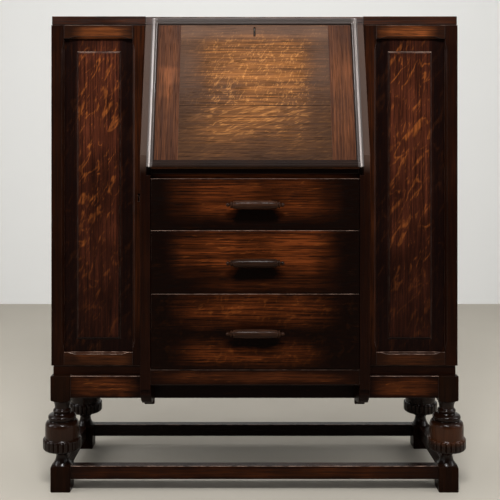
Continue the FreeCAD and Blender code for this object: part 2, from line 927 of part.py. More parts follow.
def keyhole(name, x, y, z, length):
    """Round hole with a slot below it, cut through along Y."""
    hole = rod(name + "_eye", s.keyhole_radius, length, "y", x, y, z)
    half = s.keyhole_slot_width / 2
    low = (x - half, y - length / 2, z - s.keyhole_length + s.keyhole_radius)
    slot = board(name + "_slot", low, (x + half, y + length / 2, z))
    return fuse(name, [hole, slot])


def door_stiles(side, sign, low, high):
    """Uprights of a door, grooved for the panel, with a stopped chamfer on the inner arris."""
    inner = p.bureau_half + s.door_gap
    groove_y = (p.door_front + s.door_panel_recess,
                p.door_front + s.door_panel_recess + s.door_groove_width)
    chamfer_length = high - low - s.door_rail_width * 2 - s.door_chamfer_stop * 2
    chamfer_foot = low + s.door_rail_width + s.door_chamfer_stop
    stiles = []
    for place, near, far, way in (
        ("inner", inner, inner + s.door_stile_width, 1),
        ("outer", p.case_half - s.door_stile_width, p.case_half, -1),
    ):
        name = "stile_%s_%s" % (side, place)
        x = span(sign, near, far)
        blank = board(name + "_blank", (x[0], p.door_front, low), (x[1], p.door_back, high))
        face = far if way > 0 else near
        ends = (face - s.door_groove_depth * way, face + s.cut_overrun * way)
        groove_x = span(sign, *(ends if way > 0 else ends[::-1]))
        groove = board(
            name + "_groove",
            (groove_x[0], groove_y[0], low - s.cut_overrun),
            (groove_x[1], groove_y[1], high + s.cut_overrun),
        )
        outward = FreeCAD.Vector(way * sign, -1, 0)
        chamfer = stopped_chamfer(
            name + "_chamfer", (face * sign, p.door_front, chamfer_foot), chamfer_length,
            Z_AXIS, outward,
        )
        tools = [groove, chamfer]
        if place == "outer":
            tools += door_hinge_gains(side, sign, "door")
        elif side == "left":
            middle = (near + far) / 2 * sign
            depth = s.door_thickness * 2
            tools.append(keyhole("door_keyhole", middle, p.door_back,
                                 s.door_lock_centre_height, depth + s.door_thickness))
        stiles.append(cut(name, blank, tools))
    return keep(group("door_%s_stiles" % side, stiles))


def door_rails(side, sign, low, high):
    """Top and bottom rails of a door, tongued into the stiles' grooves."""
    near = p.bureau_half + s.door_gap + s.door_stile_width
    far = p.case_half - s.door_stile_width
    x = span(sign, near, far)
    tongue_x = span(sign, near - s.door_groove_depth, far + s.door_groove_depth)
    groove_y = (p.door_front + s.door_panel_recess,
                p.door_front + s.door_panel_recess + s.door_groove_width)
    chamfer_length = far - near - s.door_chamfer_stop * 2
    rails = []
    for place, start, end, way in (
        ("bottom", low, low + s.door_rail_width, 1),
        ("top", high - s.door_rail_width, high, -1),
    ):
        name = "rail_%s_%s" % (side, place)
        blank = board(name + "_blank", (x[0], p.door_front, start), (x[1], p.door_back, end))
        tongue = board(name + "_tongue", (tongue_x[0], groove_y[0], start),
                       (tongue_x[1], groove_y[1], end))
        face = end if way > 0 else start
        levels = (face - s.door_groove_depth * way, face + s.cut_overrun * way)
        levels = levels if way > 0 else levels[::-1]
        groove = board(
            name + "_groove",
            (tongue_x[0] - s.cut_overrun, groove_y[0], levels[0]),
            (tongue_x[1] + s.cut_overrun, groove_y[1], levels[1]),
        )
        chamfer = stopped_chamfer(
            name + "_chamfer", (x[0] + s.door_chamfer_stop, p.door_front, face),
            chamfer_length, X_AXIS, FreeCAD.Vector(0, -1, way),
        )
        rails.append(cut(name, fuse(name + "_solid", [blank, tongue]), [groove, chamfer]))
    return keep(group("door_%s_rails" % side, rails))


def door_panel(side, sign, low, high):
    """Raised and fielded panel, loose in the frame's grooves."""
    reach = s.door_groove_depth - s.door_panel_play
    near = p.bureau_half + s.door_gap + s.door_stile_width
    far = p.case_half - s.door_stile_width
    x = span(sign, near - reach, far + reach)
    start = low + s.door_rail_width
    end = high - s.door_rail_width
    face = p.door_front + s.door_panel_recess
    blank = board("panel_blank_" + side, (x[0], face, start - reach),
                  (x[1], face + s.door_groove_width, end + reach))
    field = doc.addObject("Part::Wedge", "panel_field_" + side)
    width = far - near - s.door_field_margin * 2
    height = end - start - s.door_field_margin * 2
    bevel = s.door_field_bevel
    raised = s.door_field_raise
    sizes = {
        "Xmin": 0, "Xmax": width,
        "Zmin": 0, "Zmax": height,
        "X2min": bevel, "X2max": width - bevel,
        "Z2min": bevel, "Z2max": height - bevel,
        "Ymin": 0, "Ymax": raised,
    }
    turn = FreeCAD.Rotation(X_AXIS, -Y_AXIS, -Z_AXIS, "XYZ")
    field.Placement = FreeCAD.Placement(FreeCAD.Vector(), turn)
    for key, value in sizes.items():
        setattr(field, key, number_of(value))
        bind(field, key, value)
    bind(field, "Placement.Base.x", span(sign, near, far)[0] + s.door_field_margin)
    bind(field, "Placement.Base.y", face)
    bind(field, "Placement.Base.z", end - s.door_field_margin)
    return keep(fuse("door_%s_panel" % side, [blank, field]))


def doors():
    """A framed and panelled door on each cupboard, the left one with a lock."""
    low = p.case_floor + s.door_gap
    high = p.top_underside - s.door_gap
    for side, sign in SIDES:
        door_stiles(side, sign, low, high)
        door_rails(side, sign, low, high)
        door_panel(side, sign, low, high)
    inner = p.bureau_half + s.door_gap
    middle = inner + s.door_stile_width / 2
    half = s.door_lock_width / 2
    rise = s.door_lock_height / 2
    keep(board(
        "door_left_lock",
        (-middle - half, p.door_back, s.door_lock_centre_height - rise),
        (-middle + half, p.door_back + s.door_lock_thickness, s.door_lock_centre_height + rise),
    ))


def drawer_levels():
    """Lower and upper joint of each drawer's front, from the top drawer down."""
    level = s.bed_height - s.drawers_top_drop
    stack = level - p.bottom_rail_top
    rows = []
    for count, share in enumerate(DRAWER_HEIGHT_SHARES, 1):
        foot = level - stack * share
        rows.append((count, foot, level))
        level = foot
    return rows


def drawer_front(count, low, high):
    """Solid front with an eased face."""
    name = "drawer_%d_front" % count
    body = new_body(name)
    half = p.bureau_inner - s.drawer_gap
    points = rectangle(-half, half, low + s.drawer_gap / 2, high - s.drawer_gap / 2)
    block = pad(body, outline(body, "XZ_Plane", name + "_outline", points),
                s.drawer_front_thickness)
    doc.recompute()
    face = block.Shape.BoundBox.YMin
    eased = body.newObject("PartDesign::Fillet", name + "_easing")
    eased.Base = (block, edges_where(block, lambda point: abs(point.y - face) < 0.01))
    bind(eased, "Radius", s.drawer_front_rounding)
    body.Tip = eased
    lay(body, 0, p.bureau_front + s.drawer_front_thickness, 0)
    return keep(body)


def drawer_box(count, low, high):
    """Sides and back of a drawer, behind its front, and the thin bottom between them."""
    half = p.bureau_inner - s.drawer_side_clearance
    front = p.bureau_front + s.drawer_front_thickness
    rear = p.back_front - s.drawer_rear_gap
    foot = low + s.drawer_running_gap
    top = high - s.drawer_top_clearance
    inner = half - s.drawer_side_thickness
    pieces = []
    for side, sign in SIDES:
        x = span(sign, inner, half)
        pieces.append(board("drawer_%d_side_%s" % (count, side), (x[0], front, foot),
                            (x[1], rear, top)))
    back_foot = foot + s.drawer_bottom_rise + s.drawer_bottom_thickness
    pieces.append(board("drawer_%d_back" % count,
                        (-inner, rear - s.drawer_side_thickness, back_foot), (inner, rear, top)))
    keep(group("drawer_%d_box" % count, pieces))
    keep(board("drawer_%d_bottom" % count,
               (-inner, front, foot + s.drawer_bottom_rise), (inner, rear, back_foot)))


def handle(count, middle):
    """Turned bar with a ring and a small finial at each end, on two short posts."""
    name = "drawer_%d_handle" % count
    half_length = s.handle_length / 2
    bar = new_body(name + "_bar")
    points = [(half_length * along, s.handle_radius * radius)
              for along, radius in HANDLE_TURNING_SHARES]
    sketch = outline(bar, "XZ_Plane", name + "_turning", [(0, 0)] + points)
    turned = revolve(bar, sketch, "H_Axis")
    doc.recompute()
    both = bar.newObject("PartDesign::Mirrored", name + "_both_ends")
    both.Originals = [turned]
    both.MirrorPlane = (origin_plane(bar, "YZ_Plane"), [""])
    bar.Tip = both
    front = p.bureau_front
    lay(bar, 0, front - s.handle_standoff, middle)
    pieces = [bar]
    for side, sign in SIDES:
        x = s.handle_post_spacing / 2 * sign
        low = (x - s.handle_post_width / 2, front - s.handle_standoff,
               middle - s.handle_post_height / 2)
        high = (x + s.handle_post_width / 2, front, middle + s.handle_post_height / 2)
        pieces.append(board("%s_post_%s" % (name, side), low, high))
    return keep(fuse(name, pieces))


def drawers():
    """Three drawers of growing depth and the frame that carries them."""
    half_rail = s.rail_thickness / 2
    rail_front = p.bureau_front + s.drawer_front_thickness + s.drawer_gap
    rail_rear = rail_front + s.rail_width
    rails = []
    runners = []
    levels = drawer_levels()
    top_rail_foot = s.bed_height - s.bed_thickness - s.rail_thickness
    rails.append(board("rail_top", (-p.bureau_inner, rail_front, top_rail_foot),
                       (p.bureau_inner, rail_rear, top_rail_foot + s.rail_thickness)))
    for count, low, high in levels:
        last = count == len(levels)
        foot = low if last else low + half_rail
        ceiling = top_rail_foot if count == 1 else high - half_rail
        drawer_front(count, low, high)
        drawer_box(count, foot, ceiling)
        handle(count, (low + high) / 2)
        if not last:
            rails.append(board("rail_%d" % count, (-p.bureau_inner, rail_front, low - half_rail),
                               (p.bureau_inner, rail_rear, low + half_rail)))
        start = p.bureau_front + s.bottom_rail_setback + s.drawer_front_thickness
        for side, sign in SIDES:
            x = span(sign, p.bureau_inner - s.runner_width, p.bureau_inner)
            runners.append(board(
                "runner_%d_%s" % (count, side),
                (x[0], start if last else rail_rear, p.case_floor if last else low - half_rail),
                (x[1], p.back_front, foot),
            ))
    keep(group("drawer_rails", rails))
    keep(group("drawer_runners", runners))
    front = p.bureau_front + s.bottom_rail_setback
    keep(board("bottom_rail", (-p.bureau_inner, front, p.bottom_rail_foot),
               (p.bureau_inner, front + s.drawer_front_thickness, p.bottom_rail_top)))


def in_fall(item):
    """Tilts a piece made upright about the hinge axis back onto the slope."""
    return lay(item, 0, p.hinge_front, s.bed_height, X_AXIS, -p.slope_angle)


def fall_hinge_tools(sign):
    """Gain in the fall for a hinge leaf and its knuckles."""
    half = s.fall_hinge_length / 2 + s.knuckle_gap
    middle = p.fall_hinge_middle * sign
    deep = s.fall_leaf_thickness + s.knuckle_gap
    name = "fall_gain_%d" % sign
    low = (middle - half, -deep, -s.lip_below_hinge - s.cut_overrun)
    high = (middle + half, s.cut_overrun, s.fall_leaf_width + s.knuckle_gap)
    reach = s.fall_knuckle_radius + s.knuckle_gap
    return [board(name, low, high), rod(name + "_round", reach, half * 2, "x", middle, 0, 0)]


def fall_boards():
    """The fall's board between two cleats, cut for the hinges, the lock and the keyhole."""
    inner = p.fall_half - s.fall_cleat_width
    blank = board("fall_blank", (-inner, -p.fall_thickness, -s.lip_below_hinge),
                  (inner, 0, p.fall_top))
    lock_top = p.fall_top - s.fall_lock_top_inset
    lock_foot = lock_top - s.fall_lock_height
    half = s.fall_lock_width / 2
    recess = board("fall_lock_recess", (-half, -s.fall_lock_thickness, lock_foot),
                   (half, s.cut_overrun, lock_top))
    eye = lock_top - s.fall_lock_top_inset
    tools = fall_hinge_tools(-1) + fall_hinge_tools(1)
    tools += [recess, keyhole("fall_keyhole", 0, -p.fall_thickness, eye, p.fall_thickness)]
    in_fall(keep(cut("fall_panel", blank, tools)))
    for side, sign in SIDES:
        x = span(sign, inner, p.fall_half)
        cleat = board("fall_cleat_blank_" + side, (x[0], -p.fall_thickness, -s.lip_below_hinge),
                      (x[1], 0, p.fall_top))
        in_fall(keep(group("fall_cleat_" + side, [cleat])))
    lock = board("fall_lock_case", (-half, -s.fall_lock_thickness, lock_foot),
                 (half, 0, lock_top))
    in_fall(keep(group("fall_lock", [lock])))


def moulding_strip(name, length):
    """Strip of edge moulding, mitred at both ends; its outer edge lies on its own X axis."""
    body = new_body(name)
    points = [(s.moulding_width * across, s.moulding_height * up, -bulge)
              for across, up, bulge in MOULDING_SHARES]
    strip = pad(body, outline(body, "YZ_Plane", name + "_section", points), length)
    strip.Midplane = True
    half = length / 2
    for sign in (-1, 1):
        near = half * sign
        past = near + s.cut_overrun * sign
        triangle = [(near, 0), (past, 0), (past, s.moulding_width + s.cut_overrun),
                    (near - (s.moulding_width + s.cut_overrun) * sign,
                     s.moulding_width + s.cut_overrun)]
        sketch = outline(body, "XY_Plane", "%s_mitre_%d" % (name, sign + 1), triangle)
        pocket(body, sketch, s.moulding_height * 4, True)
    return body


def fall_moulding():
    """Moulded lip round the fall, mitred at the corners, lapping over the sides and the top."""
    across = p.lip_half * 2
    tall = p.lip_top + s.lip_below_hinge
    middle = (p.lip_top - s.lip_below_hinge) / 2
    back = -p.fall_thickness
    strips = (
        ("bottom", across, 0, -s.lip_below_hinge, 0),
        ("left", tall, -p.lip_half, middle, 1),
        ("top", across, 0, p.lip_top, 2),
        ("right", tall, p.lip_half, middle, 3),
    )
    pieces = []
    for name, length, x, z, turns in strips:
        strip = moulding_strip("moulding_" + name, length)
        flat = FreeCAD.Rotation(X_AXIS, QUARTER_TURN)
        turned = FreeCAD.Rotation(Y_AXIS, QUARTER_TURN * turns)
        strip.Placement = FreeCAD.Placement(FreeCAD.Vector(), turned * flat)
        bind(strip, "Placement.Base.x", x)
        bind(strip, "Placement.Base.y", back)
        bind(strip, "Placement.Base.z", z)
        pieces.append(strip)
    in_fall(keep(group("fall_moulding", pieces)))


def fall_leaf(name, sign, moving):
    """One leaf of a fall hinge, about the hinge axis: the fall's goes up, the bed's goes back."""
    length = s.fall_hinge_length
    start = p.fall_hinge_middle * sign - length / 2
    thick = s.fall_leaf_thickness
    root = s.fall_knuckle_radius + s.knuckle_gap
    shares = MOVING_KNUCKLE_SHARES if moving else FIXED_KNUCKLE_SHARES
    gap = s.knuckle_gap if moving else 0
    solids = knuckles(name, start, length, shares, s.fall_knuckle_radius, "x", 0, 0)
    plates = [("plate", start, start + length, root, s.fall_leaf_width)]
    for count, (first, last) in enumerate(shares):
        plates.append(("root_%d" % count, start + length * first + gap,
                       start + length * last - gap, 0, root))
    for part, x_low, x_high, near, far in plates:
        low = (x_low, -thick, near) if moving else (x_low, near, -thick)
        high = (x_high, 0, far) if moving else (x_high, far, 0)
        solids.append(board("%s_%s" % (name, part), low, high))
    return fuse(name, solids)


def fall_hinges():
    """Butt hinges between the writing bed and the fall."""
    moving = []
    fixed = []
    for side, sign in SIDES:
        moving.append(fall_leaf("fall_leaf_" + side, sign, True))
        fixed.append(fall_leaf("bed_leaf_" + side, sign, False))
    in_fall(keep(group("fall_hinge_leaves", moving)))
    lay(keep(group("bed_hinge_leaves", fixed)), 0, p.hinge_front, s.bed_height)


def writing_bed():
    """Bed of the writing space, let in for the hinge leaves at its front edge."""
    blank = board("bed_blank", (-p.bureau_inner, p.bed_front, s.bed_height - s.bed_thickness),
                  (p.bureau_inner, p.back_front, s.bed_height))
    gains = []
    for side, sign in SIDES:
        middle = p.fall_hinge_middle * sign
        half = s.fall_hinge_length / 2
        low = (middle - half, p.bed_front - s.cut_overrun, s.bed_height - s.fall_leaf_thickness)
        high = (middle + half, p.hinge_front + s.fall_leaf_width, s.bed_height + s.cut_overrun)
        gains.append(board("bed_gain_" + side, low, high))
    keep(cut("writing_bed", blank, gains))


# The stays: each bar turns on the fall and slides on a stud in the bureau's side. The stud
# is as far from the hinge axis as the bar's pivot, so the bar turns half as far as the fall.

p.stay_radius = hypotenuse(s.stay_reach, s.stay_pivot_rise)
p.stay_pivot_angle = p.slope_angle + angle_of(s.stay_pivot_rise, s.stay_reach)
p.stay_angle = (p.stay_pivot_angle + s.stay_stud_angle) / 2 + QUARTER_TURN
p.stay_open_half_angle = (s.stay_stud_angle - p.stay_pivot_angle + QUARTER_TURN + p.slope_angle) / 2
p.stay_shut_half_angle = (s.stay_stud_angle - p.stay_pivot_angle) / 2
p.stay_slot_far = p.stay_radius * 2 * sine(p.stay_open_half_angle) + s.stay_slot_play
p.stay_slot_near = p.stay_radius * 2 * sine(p.stay_shut_half_angle) - s.stay_slot_play
p.stay_tail = p.stay_slot_far + s.stay_stud_radius
p.stay_outer = p.bureau_inner - s.stay_wall_gap
p.stay_inner = p.stay_outer - s.stay_thickness
p.stud_front = p.hinge_front + p.stay_radius * sine(s.stay_stud_angle)
p.stud_height = s.bed_height + p.stay_radius * cosine(s.stay_stud_angle)
p.pivot_front = p.hinge_front + p.stay_radius * sine(p.stay_pivot_angle)
p.pivot_height = s.bed_height + p.stay_radius * cosine(p.stay_pivot_angle)
p.stay_tail_rear = p.pivot_front + p.stay_tail * sine(p.stay_angle) + s.stay_width / 2


def stay(side, sign):
    """Flat bar with round ends, a pivot hole at its head and a long slot."""
    name = "stay_" + side
    x = span(sign, p.stay_inner, p.stay_outer)
    half = s.stay_width / 2
    slot = s.stay_slot_width / 2
    near = p.stay_slot_near - s.stay_stud_radius + slot
    far = p.stay_tail - slot
    middle = (x[0] + x[1]) / 2
    bar = fuse(name + "_bar", [
        board(name + "_flat", (x[0], -half, 0), (x[1], half, p.stay_tail)),
        rod(name + "_head", half, s.stay_thickness, "x", middle, 0, 0),
        rod(name + "_tail", half, s.stay_thickness, "x", middle, 0, p.stay_tail),
    ])
    past = s.cut_overrun
    tools = [
        rod(name + "_hole", s.stay_stud_radius + s.pin_clearance, s.stay_thickness * 2, "x",
            middle, 0, 0),
        board(name + "_slot", (x[0] - past, -slot, near), (x[1] + past, slot, far)),
        rod(name + "_slot_near", slot, s.stay_thickness * 2, "x", middle, 0, near),
        rod(name + "_slot_far", slot, s.stay_thickness * 2, "x", middle, 0, far),
    ]
    item = keep(cut(name, bar, tools))
    return lay(item, 0, p.pivot_front, p.pivot_height, X_AXIS, -p.stay_angle)


def stays():
    """Both stays, the brackets they turn on and the studs they slide on."""
    brackets = []
    studs = []
    for side, sign in SIDES:
        stay(side, sign)
        plate = s.stay_bracket_thickness
        ear_outer = p.stay_inner - s.stay_side_gap
        ear = span(sign, ear_outer - plate, ear_outer)
        foot = span(sign, ear_outer - s.stay_bracket_width, ear_outer)
        half = s.stay_bracket_length / 2
        head = s.stay_width / 2
        pin = span(sign, ear_outer - plate, p.stay_outer)
        name = "stay_bracket_" + side
        middle = (pin[0] + pin[1]) / 2
        length = pin[1] - pin[0]
        brackets.append(fuse(name, [
            board(name + "_foot", (foot[0], 0, s.stay_reach - half),
                  (foot[1], plate, s.stay_reach + half)),
            board(name + "_ear", (ear[0], 0, s.stay_reach - head),
                  (ear[1], s.stay_pivot_rise, s.stay_reach + head)),
            rod(name + "_ear_end", head, plate, "x", (ear[0] + ear[1]) / 2,
                s.stay_pivot_rise, s.stay_reach),
            rod(name + "_pin", s.stay_stud_radius, length, "x", middle,
                s.stay_pivot_rise, s.stay_reach),
        ]))
        head_outer = p.stay_inner - s.stay_side_gap
        shank = span(sign, head_outer, p.bureau_inner)
        cap = span(sign, head_outer - s.stay_stud_head_thickness, head_outer)
        name = "stay_stud_" + side
        studs.append(fuse(name, [
            rod(name + "_shank", s.stay_stud_radius, shank[1] - shank[0], "x",
                (shank[0] + shank[1]) / 2, p.stud_front, p.stud_height),
            rod(name + "_cap", s.stay_stud_head_radius, s.stay_stud_head_thickness, "x",
                (cap[0] + cap[1]) / 2, p.stud_front, p.stud_height),
        ]))
    in_fall(keep(group("stay_brackets", brackets)))
    keep(group("stay_studs", studs))


def pigeonholes():
    """Open case of pigeonholes at the back of the writing space, with one small drawer."""
    wall = s.pigeonhole_board
    thin = s.pigeonhole_divider
    half = p.bureau_inner
    front = p.stay_tail_rear + s.pigeonhole_stay_gap
    foot = s.bed_height
    height = (p.top_underside - foot) * PIGEONHOLE_SHARE
    top = foot + height
    blank = board("pigeonhole_blank", (-half, front, foot), (half, p.back_front, top))
    room = board("pigeonhole_room", (wall - half, front - s.cut_overrun, foot + wall),
                 (half - wall, p.back_front + s.cut_overrun, top - wall))
    keep(cut("pigeonhole_case", blank, [room]))
    bay = s.inner_drawer_width / 2
    shelf = foot + wall + s.inner_drawer_height
    pieces = [board("pigeonhole_shelf_centre", (-bay, front, shelf),
                    (bay, p.back_front, shelf + thin))]
    for side, sign in SIDES:
        x = span(sign, bay, bay + thin)
        pieces.append(board("pigeonhole_divider_" + side, (x[0], front, foot + wall),
                            (x[1], p.back_front, top - wall)))
        x = span(sign, bay + thin, half - wall)
        level = foot + height / 2
        pieces.append(board("pigeonhole_shelf_" + side, (x[0], front, level),
                            (x[1], p.back_front, level + thin)))
    keep(group("pigeonhole_dividers", pieces))
    inner_drawer(front, foot + wall)


def inner_drawer(front, foot):
    """Small drawer under the middle pigeonhole, with a turned knob."""
    gap = s.inner_drawer_gap
    half = s.inner_drawer_width / 2 - gap
    wall = s.inner_drawer_wall
    rear = p.back_front - gap
    low = (-half, front, foot + gap / 2)
    high = (half, rear, foot + s.inner_drawer_height - gap)
    blank = board("inner_drawer_blank", low, high)
    room = board("inner_drawer_room", (wall - half, front + wall, foot + gap + wall),
                 (half - wall, rear - wall, foot + s.inner_drawer_height + s.cut_overrun))
    knob = new_body("inner_drawer_knob")
    points = [(s.inner_drawer_knob_radius * radius, s.inner_drawer_knob_length * along)
              for along, radius in KNOB_TURNING_SHARES]
    points = [(0, 0)] + points + [(0, s.inner_drawer_knob_length)]
    revolve(knob, outline(knob, "XZ_Plane", "inner_drawer_knob_turning", points))
    lay(knob, 0, front, foot + s.inner_drawer_height / 2, X_AXIS, QUARTER_TURN)
    keep(fuse("inner_drawer", [cut("inner_drawer_box", blank, [room]), knob]))


legs()
stand_rails()
side_brackets()
case_boards()
bureau_sides()
back_panels()
cupboard_shelves()
writing_bed()
drawers()
doors()
door_hinges()
fall_boards()
fall_moulding()
fall_hinges()
stays()
pigeonholes()
doc.recompute()

for item in doc.Objects:
    if "Invalid" in item.State or "Error" in item.State:
        raise RuntimeError("%s failed: %s" % (item.Label, item.State))
for item in nodes:
    if item.Shape.isNull() or not item.Shape.isValid() or item.Shape.Volume <= 0:
        raise RuntimeError("%s has no valid shape" % item.Label)

os.makedirs("parts", exist_ok=True)
for item in nodes:
    item.Shape.exportStep("parts/%s.step" % item.Label)
print("wrote", len(nodes), "sub-parts")
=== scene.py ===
import math

import bmesh
import bpy
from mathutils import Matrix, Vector


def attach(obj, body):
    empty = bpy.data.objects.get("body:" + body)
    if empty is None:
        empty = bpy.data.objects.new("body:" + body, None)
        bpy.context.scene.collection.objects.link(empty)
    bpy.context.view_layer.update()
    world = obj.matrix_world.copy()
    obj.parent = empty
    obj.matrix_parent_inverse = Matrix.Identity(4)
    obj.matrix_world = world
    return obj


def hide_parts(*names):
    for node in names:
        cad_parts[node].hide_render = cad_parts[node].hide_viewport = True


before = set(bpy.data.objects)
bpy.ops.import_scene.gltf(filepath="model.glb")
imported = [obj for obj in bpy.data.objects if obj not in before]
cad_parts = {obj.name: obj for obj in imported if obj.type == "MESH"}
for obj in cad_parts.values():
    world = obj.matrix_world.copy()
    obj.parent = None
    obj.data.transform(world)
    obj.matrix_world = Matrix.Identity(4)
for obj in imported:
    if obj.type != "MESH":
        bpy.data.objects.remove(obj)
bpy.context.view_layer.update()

# A dark oak writing bureau between two cupboards. Metres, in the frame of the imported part.

MM_PER_METRE = 1000
FULL_TURN = 2 * math.pi
QUARTER_TURN = math.pi / 2
SCREEN_WHITE = 255

# Legs: square blocks above and below the turning
LEG_BLOCK = 0.0485
LEG_X = 0.47575
LEG_FRONT_Y = -0.095775
LEG_REAR_Y = 0.200725
LEG_LOWER_TOP = 0.064
LEG_UPPER_FOOT = 0.221
LEG_TOP = 0.285

# The closed fall leans back, and its moulding starts at this distance from the middle
FALL_RUN = 107
FALL_RISE = 321
SLOPE_ANGLE = math.atan2(FALL_RUN, FALL_RISE)
MOULDING_INNER_X = 0.2385

# Turn that brings each grain direction to the wood's own Z axis
GRAIN_TURNS = {
    "z": (0, 0, 0),
    "x": (0, QUARTER_TURN, 0),
    "y": (-QUARTER_TURN, 0, 0),
    "slope": (SLOPE_ANGLE, 0, 0),
    "slope_x": (SLOPE_ANGLE, QUARTER_TURN, 0),
}

# Middle value of a noise
NOISE_MIDDLE = 0.5

# Sockets of a Mix node for each kind of value: first input, second input, result
MIX_SOCKETS = {"VECTOR": (4, 5, 1), "RGBA": (6, 7, 2)}


def colour(red, green, blue):
    """A screen colour, 0 to 255, as the linear colour that a shader takes."""
    def linear(level):
        share = level / SCREEN_WHITE
        return share / 12.92 if share <= 0.04045 else ((share + 0.055) / 1.055) ** 2.4
    return (linear(red), linear(green), linear(blue), 1.0)


class Graph:
    """The nodes of a material or world. Most methods add a node and give back its result."""

    def __init__(self, owner, shader):
        self.owner = owner
        owner.use_nodes = True
        self.tree = owner.node_tree
        self.shader = self.tree.nodes[shader]

    @classmethod
    def material(cls, name):
        return cls(bpy.data.materials.new(name), "Principled BSDF")

    def add(self, kind, inputs, **settings):
        node = self.tree.nodes.new(kind)
        for name, setting in settings.items():
            setattr(node, name, setting)
        for name, value in inputs.items():
            self.feed(node.inputs[name], value)
        return node

    def feed(self, socket, value):
        """Links a socket to another one's result, or sets it to a plain value."""
        if isinstance(value, bpy.types.NodeSocket):
            self.tree.links.new(value, socket)
        else:
            socket.default_value = value

    def coordinates(self, kind):
        return self.add("ShaderNodeTexCoord", {}).outputs[kind]

    def place(self):
        return self.coordinates("Object")

    def axes(self, vector):
        return self.add("ShaderNodeSeparateXYZ", {"Vector": vector}).outputs

    def calc(self, operation, first, second=0.0, clamp=False):
        inputs = {0: first, 1: second}
        node = self.add("ShaderNodeMath", inputs, operation=operation, use_clamp=clamp)
        return node.outputs[0]

    def product(self, first, second, clamp=False):
        return self.calc("MULTIPLY", first, second, clamp)

    def unsigned(self, value):
        """The value without its sign."""
        return self.calc("ABSOLUTE", value)

    def steps(self, value, low, high, to_low=0.0, to_high=1.0):
        """A smooth step from to_low, where the value is low, to to_high, where it is high."""
        inputs = {"Value": value, "From Min": low, "From Max": high,
                  "To Min": to_low, "To Max": to_high}
        node = self.add("ShaderNodeMapRange", inputs, interpolation_type="SMOOTHSTEP")
        return node.outputs["Result"]

    def scaled(self, vector, scale):
        node = self.add("ShaderNodeVectorMath", {0: vector, 1: scale}, operation="MULTIPLY")
        return node.outputs[0]

    def moved(self, vector, offset):
        node = self.add("ShaderNodeVectorMath", {0: vector, 1: offset}, operation="ADD")
        return node.outputs[0]

    def turned(self, vector, turn, offset=(0, 0, 0)):
        inputs = {"Vector": vector, "Rotation": turn, "Location": offset}
        return self.add("ShaderNodeMapping", inputs).outputs["Vector"]

    def noise(self, vector, scale, detail=2.0, distortion=0.0, roughness=0.5):
        inputs = {"Vector": self.scaled(vector, scale), "Scale": 1.0, "Detail": detail,
                  "Distortion": distortion, "Roughness": roughness}
        return self.add("ShaderNodeTexNoise", inputs).outputs["Fac"]

    def wander(self, vector, scale, reach):
        """The vector moved about by a soft noise, by up to half of reach along each axis."""
        inputs = {"Vector": self.scaled(vector, scale), "Scale": 1.0, "Detail": 2.0}
        wave = self.add("ShaderNodeTexNoise", inputs).outputs["Color"]
        centred = self.moved(wave, (-NOISE_MIDDLE, -NOISE_MIDDLE, -NOISE_MIDDLE))
        return self.moved(vector, self.scaled(centred, reach))

    def mix(self, kind, share, first, second):
        node = self.add("ShaderNodeMix", {}, data_type=kind)
        first_input, second_input, result = MIX_SOCKETS[kind]
        self.feed(node.inputs["Factor"], share)
        self.feed(node.inputs[first_input], first)
        self.feed(node.inputs[second_input], second)
        return node.outputs[result]

    def blend(self, share, first, second):
        return self.mix("RGBA", share, first, second)

    def bump(self, height, strength, distance):
        inputs = {"Height": height, "Strength": strength, "Distance": distance}
        self.feed(self.shader.inputs["Normal"], self.add("ShaderNodeBump", inputs).outputs[0])

    def finish(self, **values):
        """Feeds the shader and gives back the finished material or world."""
        for name, value in values.items():
            self.feed(self.shader.inputs[name.replace("_", " ")], value)
        return self.owner


class Tone:
    """The colours of one stain: sprayed edges, rubbed centre, ray flecks and open pores."""

    def __init__(self, dark, warm, fleck, pore):
        self.dark = colour(*dark)
        self.warm = colour(*warm)
        self.fleck = colour(*fleck)
        self.pore = colour(*pore)


STAINED = Tone((14, 4, 2), (100, 50, 22), (150, 84, 36), (7, 3, 2))
RAIL = Tone((24, 11, 6), (138, 75, 36), (160, 92, 42), (12, 6, 4))
PANEL = Tone((12, 4, 3), (86, 42, 26), (150, 82, 36), (6, 2, 2))
FALL = Tone((50, 34, 25), (154, 98, 50), (208, 142, 78), (30, 20, 15))
CLEAT = Tone((44, 26, 19), (118, 70, 42), (160, 92, 44), (26, 15, 11))
DRAWER = Tone((12, 4, 2), (98, 46, 18), (134, 72, 30), (5, 2, 1))
MOULDING = Tone((12, 6, 4), (66, 40, 26), (130, 84, 54), (12, 7, 5))
TURNED = Tone((12, 5, 3), (104, 58, 30), (120, 70, 40), (7, 3, 2))
GRIP = Tone((16, 8, 5), (108, 70, 50), (110, 73, 54), (12, 7, 5))

# Pale of wear, and of painted sheen and highlight
PALE_WEAR_AND_SHEEN = (168, 138, 122)
# Colour of the painted highlight and sheen on the fall's moulding
PAINTED_HIGHLIGHT_PALE = (208, 198, 194)
DARK_EDGE = (24, 12, 8)


class Patch:
    """A rubbed area, an open joint, or a patch of painted sheen, light or shadow: its limits in x
    and z, soft borders and strength.
    """

    def __init__(self, x, z, fade, strength):
        self.x = x
        self.z = z
        self.fade = fade
        self.strength = strength

    def mirrored(self):
        low, high = self.x
        return Patch((-high, -low), self.z, self.fade, self.strength)


def both(x, z, fade, strength):
    """The same patch on the right and on the left."""
    right = Patch(x, z, fade, strength)
    return (right, right.mirrored())


def patch_mask(graph, place, patches):
    """How far each point lies inside the patches, with their strengths added up."""
    axes = graph.axes(place)
    total = None
    for patch in patches:
        share = patch.strength
        for axis, limits, fade in (("X", patch.x, patch.fade[0]), ("Z", patch.z, patch.fade[1])):
            low, high = limits
            half = (high - low) / 2
            distance = graph.unsigned(graph.calc("SUBTRACT", axes[axis], (low + high) / 2))
            inside = graph.steps(distance, half - fade, half + fade, to_low=1.0, to_high=0.0)
            share = graph.product(inside, share)
        total = share if total is None else graph.calc("ADD", total, share)
    return total


